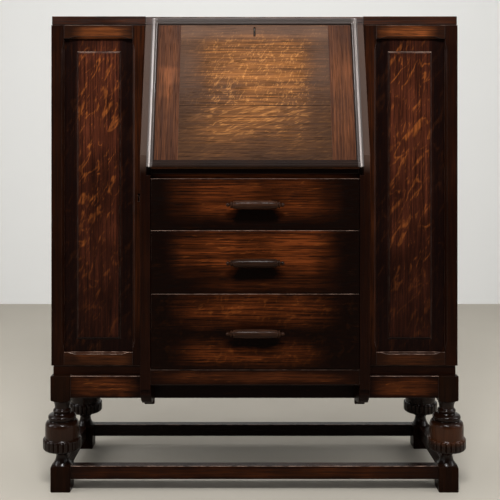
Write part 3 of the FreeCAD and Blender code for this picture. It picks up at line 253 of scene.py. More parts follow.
class Figure:
    """Rays of quartered oak: lean from the grain, how close they lie, width and place."""

    def __init__(self, lean, across, along, width, gap=0.45, soft=0.016, z_low=-1.0, z_high=2.0):
        self.lean = lean
        self.across = across
        self.along = along
        self.width = width
        self.gap = gap
        self.soft = soft
        self.z_low = z_low
        self.z_high = z_high


FALL_JOINT_LOW = 0.9433
FALL_JOINT_HIGH = 0.9447
DOOR_RAYS = Figure(lean=-0.52, across=33, along=9, width=0.034, gap=0.37, soft=0.028)
DOOR_DASHES = Figure(lean=-0.24, across=105, along=16, width=0.028, gap=0.44, soft=0.034)
FALL_STROKES = Figure(lean=1.1, across=105, along=30, width=0.03, gap=0.38, soft=0.024,
                      z_low=FALL_JOINT_HIGH)
FALL_CURLS = Figure(lean=0.3, across=100, along=46, width=0.024, gap=0.4, soft=0.022,
                    z_low=FALL_JOINT_HIGH)
FALL_WAVES = Figure(lean=0.3, across=120, along=18, width=0.05, gap=0.36, soft=0.034,
                    z_high=FALL_JOINT_LOW)
LONG_RAYS = Figure(lean=0.12, across=105, along=12, width=0.03, soft=0.03)
CLOUDS = Figure(lean=0.9, across=42, along=26, width=0.04, soft=0.05)

# Rays: soft end of a figure's place, how slowly a gap closes, and the width inside it
FIGURE_BORDER = 0.001
GAP_BORDER = 0.26
GAP_WIDTH = -0.02

# Oak: how strongly pores darken and roughen it, and the height of its grain and open joints
PORE_SHADE = 0.55
PORE_ROUGHNESS = 0.16
FINE_HEIGHT = 0.35
JOINT_HEIGHT = 2.0
GRAIN_BUMP = 0.22
GRAIN_DEPTH = 0.0005


def ray_flecks(graph, place, flat, figure, seed):
    """Pale ribbons that wander, widen and break up."""
    rays = graph.moved(flat, (seed * 2, 0, seed))
    rays = graph.wander(rays, scale=(22, 22, 22), reach=(0.014, 0.0, 0.02))
    rays = graph.turned(rays, (0, figure.lean, 0))
    field = graph.noise(rays, scale=(figure.across, figure.across, figure.along), distortion=0.5)
    away = graph.unsigned(graph.calc("SUBTRACT", field, NOISE_MIDDLE))
    swell = graph.noise(rays, scale=(figure.across * 1.6, 40, figure.along * 2.4))
    width = graph.steps(swell, figure.gap, figure.gap + GAP_BORDER, to_low=GAP_WIDTH,
                        to_high=figure.width)
    past = graph.calc("SUBTRACT", away, width)
    ribbon = graph.steps(past, -figure.soft, figure.soft, to_low=1.0, to_high=0.0)
    height = graph.axes(place)["Z"]
    low, high = figure.z_low, figure.z_high
    above = graph.steps(height, low - FIGURE_BORDER, low + FIGURE_BORDER)
    below = graph.steps(height, high - FIGURE_BORDER, high + FIGURE_BORDER, to_low=1.0, to_high=0.0)
    return graph.product(graph.product(ribbon, above), below)


def along_grain(graph, place, grain):
    """The place turned so that the grain runs along Z. On a frame the sides run upwards."""
    if grain != "frame":
        return graph.turned(place, GRAIN_TURNS[grain])
    across = graph.unsigned(graph.axes(place)["X"])
    side = graph.steps(across, MOULDING_INNER_X, MOULDING_INNER_X + 0.001)
    level = graph.turned(place, GRAIN_TURNS["slope_x"])
    upright = graph.turned(place, GRAIN_TURNS["slope"])
    return graph.mix("VECTOR", side, level, upright)


class Grain:
    """The fields that draw one board: year rings, fine lines, open pores and a slow unevenness."""

    def __init__(self, graph, place, flat, seed):
        wood = graph.moved(flat, (seed, seed * 0.7, seed * 1.3))
        wood = graph.wander(wood, scale=(9, 9, 2.2), reach=(0.006, 0.006, 0.0))
        self.rings = graph.noise(wood, scale=(75, 75, 1.8), detail=3, roughness=0.6)
        self.fine = graph.noise(wood, scale=(330, 330, 7))
        self.pores = graph.steps(graph.noise(wood, scale=(800, 800, 26), detail=1), 0.54, 0.66)
        self.cloud = graph.noise(graph.moved(place, (seed, seed, seed)), scale=(9, 9, 9))


def rubbed_share(graph, place, glow, base, drift):
    """How far the stain is rubbed through: base everywhere, and more in the patches. Some patches
    are painted light or sheen, and some with a negative strength are painted shadow.
    """
    if not glow:
        return base
    loose = graph.wander(place, scale=(16, 16, 16), reach=(drift, drift, drift))
    return graph.calc("ADD", patch_mask(graph, loose, glow), base)


def grained_light(graph, rubbed, board, texture):
    """The rubbed share, made uneven by the grain."""
    uneven = graph.steps(board.cloud, 0.3, 0.7, to_low=0.6, to_high=1.3)
    streaks = graph.steps(board.rings, 0.3, 0.7, to_low=1 - 0.3 * texture,
                          to_high=1 + 0.26 * texture)
    lines = graph.steps(board.fine, 0.28, 0.72, to_low=1 - 0.56 * texture,
                        to_high=1 + 0.5 * texture)
    grained = graph.product(graph.product(uneven, streaks), lines)
    return graph.product(rubbed, grained, clamp=True)


def fleck_strength(graph, rubbed, board, base, flecks):
    """Ray flecks show where the stain is rubbed, and less on the fine dark lines."""
    strength = graph.steps(rubbed, base, base + 0.6, to_low=0.05 * flecks, to_high=flecks)
    return graph.product(strength, graph.steps(board.fine, 0.34, 0.6, to_low=0.3, to_high=1.0))


def patchy_noise(graph, low, high):
    """Uneven share between two levels, for the wear and painted highlight of arrises."""
    spots = graph.noise(graph.place(), scale=(45, 45, 45), detail=3)
    return graph.steps(spots, 0.35, 0.62, to_low=low, to_high=high)


def wear_and_highlight_share(graph, wear_and_highlight):
    """Pale on what faces up, such as the top arris of a drawer front: partly wear, partly painted
    highlight of the light from above.
    """
    above = graph.axes(graph.coordinates("Normal"))["Z"]
    arris = graph.steps(above, 0.2, 0.5, to_low=0.0, to_high=wear_and_highlight)
    return graph.product(arris, patchy_noise(graph, 0.35, 1.0))


def oak_roughness(graph, place, board, gloss, texture, polished):
    """Rougher in the pores, uneven all over, and smoother where it is polished."""
    rough = graph.calc("ADD", graph.product(board.pores, PORE_ROUGHNESS * texture), gloss)
    rough = graph.calc("ADD", rough, graph.steps(board.cloud, 0.3, 0.7, to_low=-0.03, to_high=0.05))
    if polished:
        rough = graph.calc("SUBTRACT", rough, patch_mask(graph, place, polished))
    return rough


def oak(name, tone, grain="z", glow=(), base=0.12, flecks=0.0, seed=0.0, gloss=0.34,
        shine=0.04, figures=(), seams=(), drift=0.022, texture=1.0, wear_and_highlight=0.0,
        polished=(), painted_sheen=(), fade=PALE_WEAR_AND_SHEEN):
    """Stained oak whose grain runs one way.

    The stain is rubbed through by base everywhere and by glow in patches, and flecks is the
    strength of its figures there. Texture scales the contrast and depth of the grain. Seams are
    open joints and other dark sunken marks, and painted_sheen patches are painted sheen or
    highlight in the colour fade. Wear_and_highlight pales arrises that face up: partly wear, partly
    painted highlight.
    """
    graph = Graph.material(name)
    place = graph.place()
    flat = along_grain(graph, place, grain)
    board = Grain(graph, place, flat, seed)
    rubbed = rubbed_share(graph, place, glow, base, drift)
    shade = graph.blend(grained_light(graph, rubbed, board, texture), tone.dark, tone.warm)
    for figure in figures:
        ribbons = ray_flecks(graph, place, flat, figure, seed)
        strength = fleck_strength(graph, rubbed, board, base, flecks)
        shade = graph.blend(graph.product(ribbons, strength, clamp=True), shade, tone.fleck)
    shade = graph.blend(graph.product(board.pores, PORE_SHADE * texture), shade, tone.pore)
    # Arrises that face up turn pale: partly wear, partly painted highlight.
    if wear_and_highlight:
        shade = graph.blend(wear_and_highlight_share(graph, wear_and_highlight), shade, colour(*PALE_WEAR_AND_SHEEN))
    # Painted sheen or highlight, in the colour fade.
    if painted_sheen:
        shade = graph.blend(patch_mask(graph, place, painted_sheen), shade, colour(*fade))
    height = graph.calc("SUBTRACT", graph.product(board.fine, FINE_HEIGHT), board.pores)
    if seams:
        open_joint = patch_mask(graph, place, seams)
        shade = graph.blend(open_joint, shade, tone.pore)
        height = graph.calc("SUBTRACT", height, graph.product(open_joint, JOINT_HEIGHT))
    graph.bump(height, strength=GRAIN_BUMP * texture, distance=GRAIN_DEPTH)
    rough = oak_roughness(graph, place, board, gloss, texture, polished)
    return graph.finish(Base_Color=shade, Roughness=rough, Specular_IOR_Level=shine)


def plain_wood(name, pale, deep, grain, gloss=0.55):
    """Unstained inside wood, such as drawer boxes and partitions."""
    graph = Graph.material(name)
    place = graph.place()
    wood = graph.turned(place, GRAIN_TURNS[grain], offset=(0.3, 0.1, 0.2))
    wood = graph.wander(wood, scale=(9, 9, 2), reach=(0.008, 0.008, 0.0))
    rings = graph.steps(graph.noise(wood, scale=(110, 110, 2.4), detail=3), 0.3, 0.7)
    fine = graph.noise(wood, scale=(700, 700, 14))
    worn = graph.noise(place, scale=(8, 8, 8), detail=3)
    dirty = [level * 0.72 for level in deep]
    shade = graph.blend(rings, colour(*deep), colour(*pale))
    lines = graph.steps(fine, 0.45, 0.75, to_low=0.0, to_high=0.35)
    shade = graph.blend(lines, shade, colour(*deep))
    dirt = graph.steps(worn, 0.52, 0.8, to_low=0.0, to_high=0.5)
    shade = graph.blend(dirt, shade, colour(*dirty))
    graph.bump(fine, strength=0.15, distance=0.0004)
    rough = graph.steps(fine, 0.2, 0.8, to_low=gloss - 0.06, to_high=gloss + 0.08)
    return graph.finish(Base_Color=shade, Roughness=rough, Specular_IOR_Level=0.35)


def metal(name, bright, dull, polish):
    """Old metal with a tarnished, brushed surface."""
    graph = Graph.material(name)
    place = graph.place()
    stain = graph.steps(graph.noise(place, scale=(90, 90, 90), detail=4), 0.38, 0.68)
    brushed = graph.noise(place, scale=(1800, 300, 300))
    shade = graph.blend(stain, colour(*bright), colour(*dull))
    rough = graph.calc("ADD", graph.product(stain, 0.25), polish)
    graph.bump(brushed, strength=0.12, distance=0.0002)
    return graph.finish(Base_Color=shade, Roughness=rough, Metallic=1.0)


def rail_looks():
    """The rails of both doors, rubbed brightest in the middle of the top ones."""
    glow = both(x=(0.308, 0.442), z=(1.112, 1.143), fade=(0.012, 0.006), strength=0.16)
    glow += both(x=(0.328, 0.425), z=(1.112, 1.143), fade=(0.012, 0.006), strength=0.26)
    glow += (Patch(x=(-0.43, -0.325), z=(0.313, 0.337), fade=(0.02, 0.008), strength=0.2),
             Patch(x=(0.325, 0.43), z=(0.313, 0.337), fade=(0.02, 0.008), strength=0.09))
    return {
        "door_left_rails": oak("oak_left_rails", RAIL, "x", glow, base=0.04, seed=2.1),
        "door_right_rails": oak("oak_right_rails", RAIL, "x", glow, base=0.03, seed=3.3),
    }


def door_looks(side, seed):
    """A door's stiles and its panel, which is rubbed more towards the top."""
    glow = both(x=(0.333, 0.436), z=(0.376, 1.078), fade=(0.008, 0.012), strength=0.12)
    glow += both(x=(0.335, 0.434), z=(0.56, 1.1), fade=(0.012, 0.12), strength=0.22)
    glow += both(x=(0.335, 0.434), z=(0.84, 1.1), fade=(0.012, 0.08), strength=0.26)
    stile_glow = both(x=(0.272, 0.3), z=(0.4, 1.15), fade=(0.008, 0.1), strength=0.16)
    return {
        "door_%s_stiles" % side: oak("oak_%s_stiles" % side, STAINED, "z", stile_glow, base=0.05,
                                     seed=seed),
        "door_%s_panel" % side: oak("oak_%s_panel" % side, PANEL, "z", glow, base=0.03, flecks=0.72,
                                    seed=seed, drift=0.008, figures=(DOOR_RAYS, DOOR_DASHES)),
    }


# The drawers from the top down: height of the handle, with a painted shadow below it, rubbed
# patches of the front, wear and painted highlight of its top arris, and its figures
HANDLE_LEVELS = (0.7115, 0.577, 0.41425)
PAINTED_SHADOW_HALF_WIDTH = 0.046
PAINTED_SHADOW_BOTTOM = 0.036
PAINTED_SHADOW_TOP = 0.008
DRAWER_GLOWS = (
    (Patch(x=(-0.155, 0.155), z=(0.69, 0.765), fade=(0.055, 0.025), strength=0.4),
     Patch(x=(-0.2, 0.2), z=(0.68, 0.78), fade=(0.02, 0.02), strength=0.05)),
    (Patch(x=(-0.16, 0.16), z=(0.56, 0.645), fade=(0.055, 0.03), strength=0.66),
     Patch(x=(-0.12, 0.16), z=(0.51, 0.54), fade=(0.05, 0.015), strength=0.16)),
    (Patch(x=(-0.16, 0.16), z=(0.44, 0.495), fade=(0.055, 0.03), strength=0.46),
     Patch(x=(-0.16, 0.13), z=(0.34, 0.385), fade=(0.05, 0.02), strength=0.32)),
)
DRAWER_WEAR_AND_HIGHLIGHT = (0.26, 0.42, 0.36)
DRAWER_FIGURES = ((LONG_RAYS,), (LONG_RAYS,), (LONG_RAYS, CLOUDS))


def drawer_looks():
    """The drawer fronts, dark at the ends, with a painted shadow under each handle."""
    looks = {}
    rows = zip(DRAWER_GLOWS, DRAWER_WEAR_AND_HIGHLIGHT, DRAWER_FIGURES, HANDLE_LEVELS)
    for count, (glow, wear_and_highlight, figures, level) in enumerate(rows, 1):
        # Painted shadow under each handle: a patch that darkens the stain just below the bar.
        painted_shadow = Patch(x=(-PAINTED_SHADOW_HALF_WIDTH, PAINTED_SHADOW_HALF_WIDTH),
                      z=(level - PAINTED_SHADOW_BOTTOM, level - PAINTED_SHADOW_TOP), fade=(0.016, 0.008),
                      strength=-0.4)
        looks["drawer_%d_front" % count] = oak(
            "oak_drawer_%d" % count, DRAWER, "x", glow + (painted_shadow,), base=0.0, flecks=0.5,
            seed=3.1 * count, figures=figures, wear_and_highlight=wear_and_highlight, shine=0.03, texture=1.3)
    return looks


def stand_looks():
    """The aprons and stretchers of the stand, rubbed a little on the front ones."""
    apron_glow = both(x=(0.3, 0.44), z=(0.24, 0.278), fade=(0.03, 0.01), strength=0.36)
    stretcher_glow = (Patch(x=(-0.38, 0.38), z=(0.036, 0.058), fade=(0.1, 0.01), strength=0.2),)
    return {
        "apron_front": oak("oak_apron", STAINED, "x", apron_glow, base=0.0, flecks=0.6, seed=1.7,
                           figures=(LONG_RAYS,)),
        "apron_rear": oak("oak_apron_rear", STAINED, "x", base=0.06, seed=2.1),
        "apron_sides": oak("oak_apron_sides", STAINED, "y", base=0.2, seed=2.6),
        "stretcher_front": oak("oak_stretcher", STAINED, "x", stretcher_glow, base=0.02, seed=3.3,
                               gloss=0.22, shine=0.06),
        "stretcher_rear": oak("oak_stretcher_rear", STAINED, "x", base=0.0, seed=3.9, gloss=0.2,
                              shine=0.1),
        "stretcher_sides": oak("oak_stretcher_sides", STAINED, "y", base=0.05, seed=4.4),
    }


def case_looks():
    """The boards of the case and the rails between the drawers."""
    rail_glow = (Patch(x=(-0.2, 0.2), z=(0.296, 0.318), fade=(0.05, 0.008), strength=0.26),)
    # The bed keeps the darkest stain on its front edge, as painted shade under the fall; its top is
    # lighter.
    bed_glow = (Patch(x=(-0.3, 0.3), z=(0.7992, 0.9), fade=(0.01, 0.0004), strength=0.5),)
    # Painted light on the rail above the top drawer, lightened where the fall shades it.
    upper_rail_painted_light = (Patch(x=(-0.2, 0.2), z=(0.77, 0.79), fade=(0.05, 0.002), strength=0.5),)
    return {
        "top_board": oak("oak_top", STAINED, "x", base=0.16, flecks=0.7, seed=6.1, shine=0.14,
                         figures=(LONG_RAYS,)),
        "bottom_board": oak("oak_bottom", STAINED, "x", base=0.04, seed=6.6),
        "case_side_left": oak("oak_side_left", STAINED, "z", base=0.2, flecks=1.2, seed=7.3,
                              figures=(DOOR_RAYS,)),
        "case_side_right": oak("oak_side_right", STAINED, "z", base=0.2, flecks=1.2, seed=8.4,
                               figures=(DOOR_RAYS,)),
        "bottom_rail": oak("oak_bottom_rail", STAINED, "x", rail_glow, base=0.03, flecks=0.6,
                           seed=10.4, figures=(LONG_RAYS,)),
        "writing_bed": oak("oak_bed", STAINED, "x", bed_glow, base=0.0, seed=11.2, drift=0.0),
        "drawer_rails": oak("oak_drawer_rails", STAINED, "x", upper_rail_painted_light, base=0.16,
                            seed=12.1),
    }


def bureau_looks():
    """The sides of the bureau, with a painted sheen along the slope beside the fall."""
    # Painted sheen along the sloping front edges.
    slope = both(x=(0.249, 0.269), z=(0.8, 1.2), fade=(0.001, 0.02), strength=0.13)
    return {
        "bureau_side_left": oak("oak_bureau_left", STAINED, "z", base=0.03, seed=9.2, painted_sheen=slope),
        "bureau_side_right": oak("oak_bureau_right", STAINED, "z", base=0.03, seed=9.9,
                                 painted_sheen=slope),
        "side_brackets": oak("oak_brackets", STAINED, "z", base=0.02, seed=5.2),
    }


def fall_board():
    """The board of the fall, worn golden in the middle, with painted sheen at the top and on the
    upper sides.
    """
    glow = (
        Patch(x=(-0.118, 0.124), z=(0.872, 1.11), fade=(0.026, 0.024), strength=0.21),
        Patch(x=(-0.155, 0.165), z=(0.84, 1.105), fade=(0.035, 0.03), strength=0.08),
        Patch(x=(-0.09, 0.11), z=(0.95, 1.09), fade=(0.05, 0.04), strength=0.09),
        # Painted sheen: the top band a little lighter.
        Patch(x=(-0.2, 0.2), z=(1.105, 1.17), fade=(0.04, 0.02), strength=0.07),
    )
    # Painted sheen at the top and on the upper sides, in a pale grey-pink.
    painted_sheen = (Patch(x=(-0.2, 0.2), z=(1.112, 1.18), fade=(0.03, 0.016), strength=0.12),)
    painted_sheen += both(x=(0.135, 0.2), z=(0.985, 1.115), fade=(0.03, 0.07), strength=0.075)
    joint = Patch(x=(-0.1815, 0.1815), z=(FALL_JOINT_LOW, FALL_JOINT_HIGH), fade=(0.0002, 0.0005),
                  strength=0.85)
    # Painted shade at the keyhole: a dark, sunken mark standing in for its opening.
    keyhole_painted_shade = Patch(x=(-0.0028, 0.0028), z=(1.1165, 1.1385), fade=(0.0006, 0.0012),
                          strength=0.9)
    return oak("oak_fall", FALL, "slope_x", glow, base=0.05, flecks=0.72, seed=12.5, drift=0.014,
               shine=0.014, painted_sheen=painted_sheen, seams=(joint, keyhole_painted_shade),
               figures=(FALL_STROKES, FALL_CURLS, FALL_WAVES))


def fall_moulding():
    """The moulding round the fall: polished sides with a painted highlight, pale on each side with
    one bright line, and a painted sheen on the top.
    """
    side_x = (MOULDING_INNER_X, 0.3)
    polished = both(x=side_x, z=(0.7, 1.4), fade=(0.0008, 0.05), strength=0.42)
    # Painted sheen on the top, and painted highlights down both sides.
    painted_sheen = (Patch(x=(-0.25, 0.25), z=(1.15, 1.2), fade=(0.01, 0.003), strength=0.11),)
    painted_sheen += both(x=side_x, z=(0.7, 1.4), fade=(0.0008, 0.05), strength=0.1)
    painted_sheen += both(x=(0.2444, 0.248), z=(0.7, 1.165), fade=(0.0012, 0.05), strength=0.72)
    return oak("oak_moulding", MOULDING, "frame", base=0.2, seed=15.3, gloss=0.58, shine=0.085,
               texture=0.03, polished=polished, painted_sheen=painted_sheen, fade=PAINTED_HIGHLIGHT_PALE)


def fall_looks():
    """The fall: its board, the moulding and two cleats with upright grain and a rubbed patch."""
    left_glow = (Patch(x=(-0.23, -0.18), z=(0.995, 1.04), fade=(0.01, 0.008), strength=0.36),
                 Patch(x=(-0.23, -0.2), z=(0.965, 0.99), fade=(0.01, 0.01), strength=0.24))
    right_glow = (Patch(x=(0.185, 0.235), z=(0.88, 1.05), fade=(0.012, 0.04), strength=0.2),)
    return {
        "fall_panel": fall_board(),
        "fall_cleat_left": oak("oak_cleat_left", CLEAT, "slope", left_glow, base=0.3, flecks=0.5,
                               seed=13.1, shine=0.02, figures=(LONG_RAYS,)),
        "fall_cleat_right": oak("oak_cleat_right", CLEAT, "slope", right_glow, base=0.26,
                                flecks=0.5, seed=14.2, shine=0.02, figures=(LONG_RAYS,)),
        "fall_moulding": fall_moulding(),
    }


def inside_looks():
    """Everything that shows only when a door, a drawer or the fall is open, and the back."""
    box = plain_wood("drawer_box_wood", (176, 132, 82), (138, 96, 54), "y")
    divider = plain_wood("divider_wood", (150, 100, 58), (112, 70, 38), "y")
    bottom = plain_wood("plywood", (186, 148, 100), (156, 116, 72), "x")
    back = plain_wood("back_plywood", (120, 84, 52), (88, 58, 34), "z", gloss=0.62)
    looks = {
        "cupboard_shelves": plain_wood("shelf_wood", (150, 108, 66), (116, 78, 44), "x"),
        "drawer_runners": box,
        "back_panels": back,
        "pigeonhole_case": divider,
        "pigeonhole_dividers": divider,
        "inner_drawer": oak("oak_inner_drawer", RAIL, "x", base=0.62, seed=16.6),
    }
    for count in (1, 2, 3):
        looks["drawer_%d_box" % count] = box
        looks["drawer_%d_bottom" % count] = bottom
    return looks


def metal_looks():
    """Brass hinges and stays, and iron locks."""
    brass = metal("old_brass", (196, 150, 82), (112, 78, 38), polish=0.3)
    iron = metal("lock_iron", (58, 54, 50), (26, 22, 20), polish=0.5)
    looks = {"fall_lock": iron, "door_left_lock": iron}
    for name in ("case_hinge_leaves", "bed_hinge_leaves", "stay_studs", "fall_hinge_leaves",
                 "stay_brackets", "stay_left", "stay_right", "door_left_hinge_leaves",
                 "door_right_hinge_leaves"):
        looks[name] = brass
    return looks


# How wide the arrises of the CAD nodes are rounded, and from what angle on
CASE_ARRIS = 0.0011
FINE_ARRIS = 0.0008
DRAWER_ARRIS = 0.0012
INSIDE_ARRIS = 0.0005
ARRIS_ANGLE = math.radians(35)


def soften(node, width):
    """Rounds the arrises of a CAD node a little."""
    weld = node.modifiers.new("weld", "WELD")
    weld.merge_threshold = 0.00002
    bevel = node.modifiers.new("soft_arrises", "BEVEL")
    bevel.width = width
    bevel.segments = 3
    bevel.limit_method = "ANGLE"
    bevel.angle_limit = ARRIS_ANGLE
    bevel.harden_normals = True


def worn_and_lit_arris():
    """Arrises pale where they face up or sideways, partly from wear and partly as painted
    highlight, and dark elsewhere.
    """
    graph = Graph.material("oak_worn_and_lit_arris")
    facing = graph.axes(graph.coordinates("Normal"))
    above = graph.steps(facing["Z"], 0.15, 0.6)
    aside = graph.steps(graph.unsigned(facing["X"]), 0.3, 0.8, to_low=0.0, to_high=0.2)
    wear_and_highlight = graph.calc("MAXIMUM", above, aside)
    share = graph.product(wear_and_highlight, patchy_noise(graph, 0.08, 0.72))
    shade = graph.blend(share, colour(*DARK_EDGE), colour(*PALE_WEAR_AND_SHEEN))
    return graph.finish(Base_Color=shade, Roughness=0.4, Specular_IOR_Level=0.2)


def dress(looks, width=0, worn=None):
    """Gives each CAD node its material. With worn arrises, the rounded edges have their own, pale
    in part as painted highlight.
    """
    for name, material in looks.items():
        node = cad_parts[name]
        node.data.materials.clear()
        node.data.materials.append(material)
        if width:
            soften(node, width)
        if worn:
            node.data.materials.append(worn)
            node.modifiers["soft_arrises"].material = 1


# Legs: points round a ring, notches of the rim, arrises and shoulders of the square blocks
LEG_STEPS = 144
RIM_NOTCHES = 24
NOTCH_DEPTH = 0.0027
NOTCH_SHARE = 0.34
NOTCH_ROUNDING = 0.8
BLOCK_ARRIS = 0.0022
BLOCK_END_SOFT = 0.0015
SHOULDER_START = 0.0006
SHOULDER_FALL = 0.0038
SHARP_ANGLE = math.radians(40)

# Turned part of a leg from the lower block up: radius and height, in millimetres
LEG_TURNING = (
    (23.4, 64.0), (21.8, 66.0), (19.6, 68.8), (17.4, 72.6), (15.8, 77.6), (14.9, 82.8),
    (14.7, 86.6), (15.2, 88.2), (17.2, 89.4), (18.4, 91.0), (18.2, 92.8), (16.8, 94.2),
    (15.8, 95.0), (22.0, 96.3), (31.0, 98.0), (38.0, 99.6), (42.4, 101.2),
)
RIM_TURNING = (
    (45.0, 103.0), (46.4, 105.2), (46.8, 108.0), (46.8, 124.0), (46.4, 126.4), (45.2, 127.9),
)
CUP_TURNING = (
    (43.4, 128.5), (41.8, 128.7), (41.1, 129.6), (41.4, 133.0), (41.6, 141.0), (41.6, 150.0),
    (41.4, 157.0), (40.9, 162.0), (39.9, 165.6), (38.2, 168.4), (35.8, 170.4), (33.2, 171.4),
    (31.6, 171.9), (31.2, 172.8), (31.8, 173.8), (33.0, 175.0), (33.9, 177.0), (34.2, 179.6),
    (33.8, 182.2), (32.6, 184.4), (30.4, 186.0), (27.4, 187.0), (23.6, 187.6), (21.2, 188.2),
    (20.4, 189.4), (20.8, 191.0), (21.8, 192.8), (22.3, 194.8), (22.1, 197.0), (21.2, 198.8),
    (19.6, 200.0), (18.4, 201.2), (18.0, 204.0), (18.4, 208.0), (19.4, 212.4), (21.0, 217.0),
    (23.4, 221.0),
)


def angles(steps):
    """The angles that divide a full turn."""
    return [FULL_TURN * step / steps for step in range(steps)]


def rounded_square(half, corner, angle):
    """Distance from the middle of a square with rounded corners to its side, in one direction."""
    across = abs(math.cos(angle))
    along = abs(math.sin(angle))
    long_part, short_part = max(across, along), min(across, along)
    straight = half / long_part
    inner = half - corner
    if straight * short_part <= inner:
        return straight
    middle = inner * (long_part + short_part)
    return middle + math.sqrt(middle ** 2 - (2 * inner ** 2 - corner ** 2))


def notch(angle):
    """How deep the rim is cut at an angle, as a share of the notch's depth."""
    turn = angle / FULL_TURN * RIM_NOTCHES
    away = abs(turn - round(turn)) * 2
    return max(0.0, 1 - away / NOTCH_SHARE) ** NOTCH_ROUNDING


def block_rings(low, high, turned_below=False, turned_above=False):
    """Rings of a leg's square block. The corners of the side by the turning fall away."""
    half = LEG_BLOCK / 2
    corner = half * math.sqrt(2)
    start = half + SHOULDER_START
    middle = (low + high) / 2

    def shoulder(reach):
        return max(0.0, (reach - start) / (corner - start)) * SHOULDER_FALL

    rings = []
    levels = ((low, BLOCK_END_SOFT), (low + BLOCK_END_SOFT, 0.0),
              (high - BLOCK_END_SOFT, 0.0), (high, BLOCK_END_SOFT))
    for level, inset in levels:
        ring = []
        for angle in angles(LEG_STEPS):
            reach = rounded_square(half, BLOCK_ARRIS, angle) - inset
            height = level
            if turned_above and level > middle:
                height = level - shoulder(reach)
            if turned_below and level < middle:
                height = level + shoulder(reach)
            ring.append((reach * math.cos(angle), reach * math.sin(angle), height))
        rings.append(ring)
    return rings


def turned_rings(profile, cut=False):
    """Rings of a leg's turned part, with the notches of the rim where it is cut."""
    rings = []
    for radius, height in profile:
        ring = []
        for angle in angles(LEG_STEPS):
            reach = radius / MM_PER_METRE
            if cut:
                reach -= NOTCH_DEPTH * notch(angle)
            ring.append((reach * math.cos(angle), reach * math.sin(angle), height / MM_PER_METRE))
        rings.append(ring)
    return rings


def skin(bm, rings, offset):
    """Faces between rings that follow each other, closed at both ends."""
    rows = [[bm.verts.new(Vector(point) + offset) for point in ring] for ring in rings]
    for lower, upper in zip(rows, rows[1:]):
        for index in range(len(lower)):
            after = (index + 1) % len(lower)
            bm.faces.new((lower[index], lower[after], upper[after], upper[index]))
    bm.faces.new(list(reversed(rows[0])))
    bm.faces.new(rows[-1])


def new_piece(name, bm, materials):
    """A finished piece from a bmesh, smooth except at sharp arrises."""
    bmesh.ops.recalc_face_normals(bm, faces=bm.faces)
    for face in bm.faces:
        face.smooth = True
    for edge in bm.edges:
        if edge.is_manifold and edge.calc_face_angle() > SHARP_ANGLE:
            edge.smooth = False
    mesh = bpy.data.meshes.new(name)
    bm.to_mesh(mesh)
    bm.free()
    for material in materials:
        mesh.materials.append(material)
    piece = bpy.data.objects.new(name, mesh)
    bpy.context.scene.collection.objects.link(piece)
    return piece


def leg_pair(y):
    """Two legs side by side. Their turned faces have the second material."""
    bm = bmesh.new()
    for x in (-LEG_X, LEG_X):
        rings = block_rings(0.0, LEG_LOWER_TOP, turned_above=True)
        rings += turned_rings(LEG_TURNING)
        rings += turned_rings(RIM_TURNING, cut=True)
        rings += turned_rings(CUP_TURNING)
        rings += block_rings(LEG_UPPER_FOOT, LEG_TOP, turned_below=True)
        skin(bm, rings, Vector((x, y, 0)))
    for face in bm.faces:
        if LEG_LOWER_TOP < face.calc_center_median().z < LEG_UPPER_FOOT:
            face.material_index = 1
    return bm


def turned_legs():
    """The legs, glossy on the turning, with a rubbed band on the front cups."""
    cup_glow = (Patch(x=(0.43, 0.53), z=(0.124, 0.166), fade=(0.012, 0.008), strength=0.2),
                Patch(x=(-0.53, -0.43), z=(0.13, 0.166), fade=(0.012, 0.008), strength=0.1))
    front = oak("oak_legs_front", TURNED, "z", cup_glow, base=0.03, seed=17.3, gloss=0.19,
                shine=0.15, texture=0.3, drift=0.01)
    rear = oak("oak_legs_rear", TURNED, "z", base=0.03, seed=17.9, gloss=0.19, shine=0.15,
               texture=0.3)
    block = oak("oak_leg_blocks", TURNED, "z", base=0.03, seed=18.3, gloss=0.28, shine=0.03,
                texture=0.5)
    for row, y, turning in (("front", LEG_FRONT_Y, front), ("rear", LEG_REAR_Y, rear)):
        piece = new_piece("turned_legs_" + row, leg_pair(y), (block, turning))
        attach(piece, "case")
        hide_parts("legs_" + row)


HANDLE_STEPS = 48
HANDLE_Y = -0.237
DRAWER_FACE_Y = -0.21503
POST_STEPS = 24
POST_X = 0.03
POST_HALF_WIDTH = 0.006
POST_HALF_HEIGHT = 0.005

# Half of a handle's bar from the middle out: place along and radius, in millimetres
HANDLE_TURNING = (
    (0.0, 10.5), (20.0, 10.4), (38.0, 9.9), (47.0, 9.2), (50.0, 8.6), (51.4, 7.6), (52.2, 6.3),
    (52.9, 6.1), (53.6, 6.9), (54.4, 7.8), (55.4, 8.1), (56.4, 7.7), (57.2, 6.2), (57.8, 4.2),
    (58.5, 3.3), (59.4, 3.2), (60.2, 3.8), (61.4, 4.6), (63.0, 4.8), (64.8, 4.4), (66.2, 3.2),
    (67.2, 1.8), (67.9, 0.8),
)

# A handle's post from the bar to the drawer: share of the way and spread
POST_FLARE = ((0.0, 0.8), (0.35, 0.8), (0.6, 0.86), (0.8, 0.94), (1.0, 1.0))


def turned_bar(bm, level):
    """A handle's bar, the same on both sides of the middle."""
    left_half = [(-along, radius) for along, radius in reversed(HANDLE_TURNING[1:])]
    rings = []
    for along, radius in left_half + list(HANDLE_TURNING):
        rings.append([(along / MM_PER_METRE, radius * math.cos(angle) / MM_PER_METRE,
                       radius * math.sin(angle) / MM_PER_METRE) for angle in angles(HANDLE_STEPS)])
    skin(bm, rings, Vector((0, HANDLE_Y, level)))


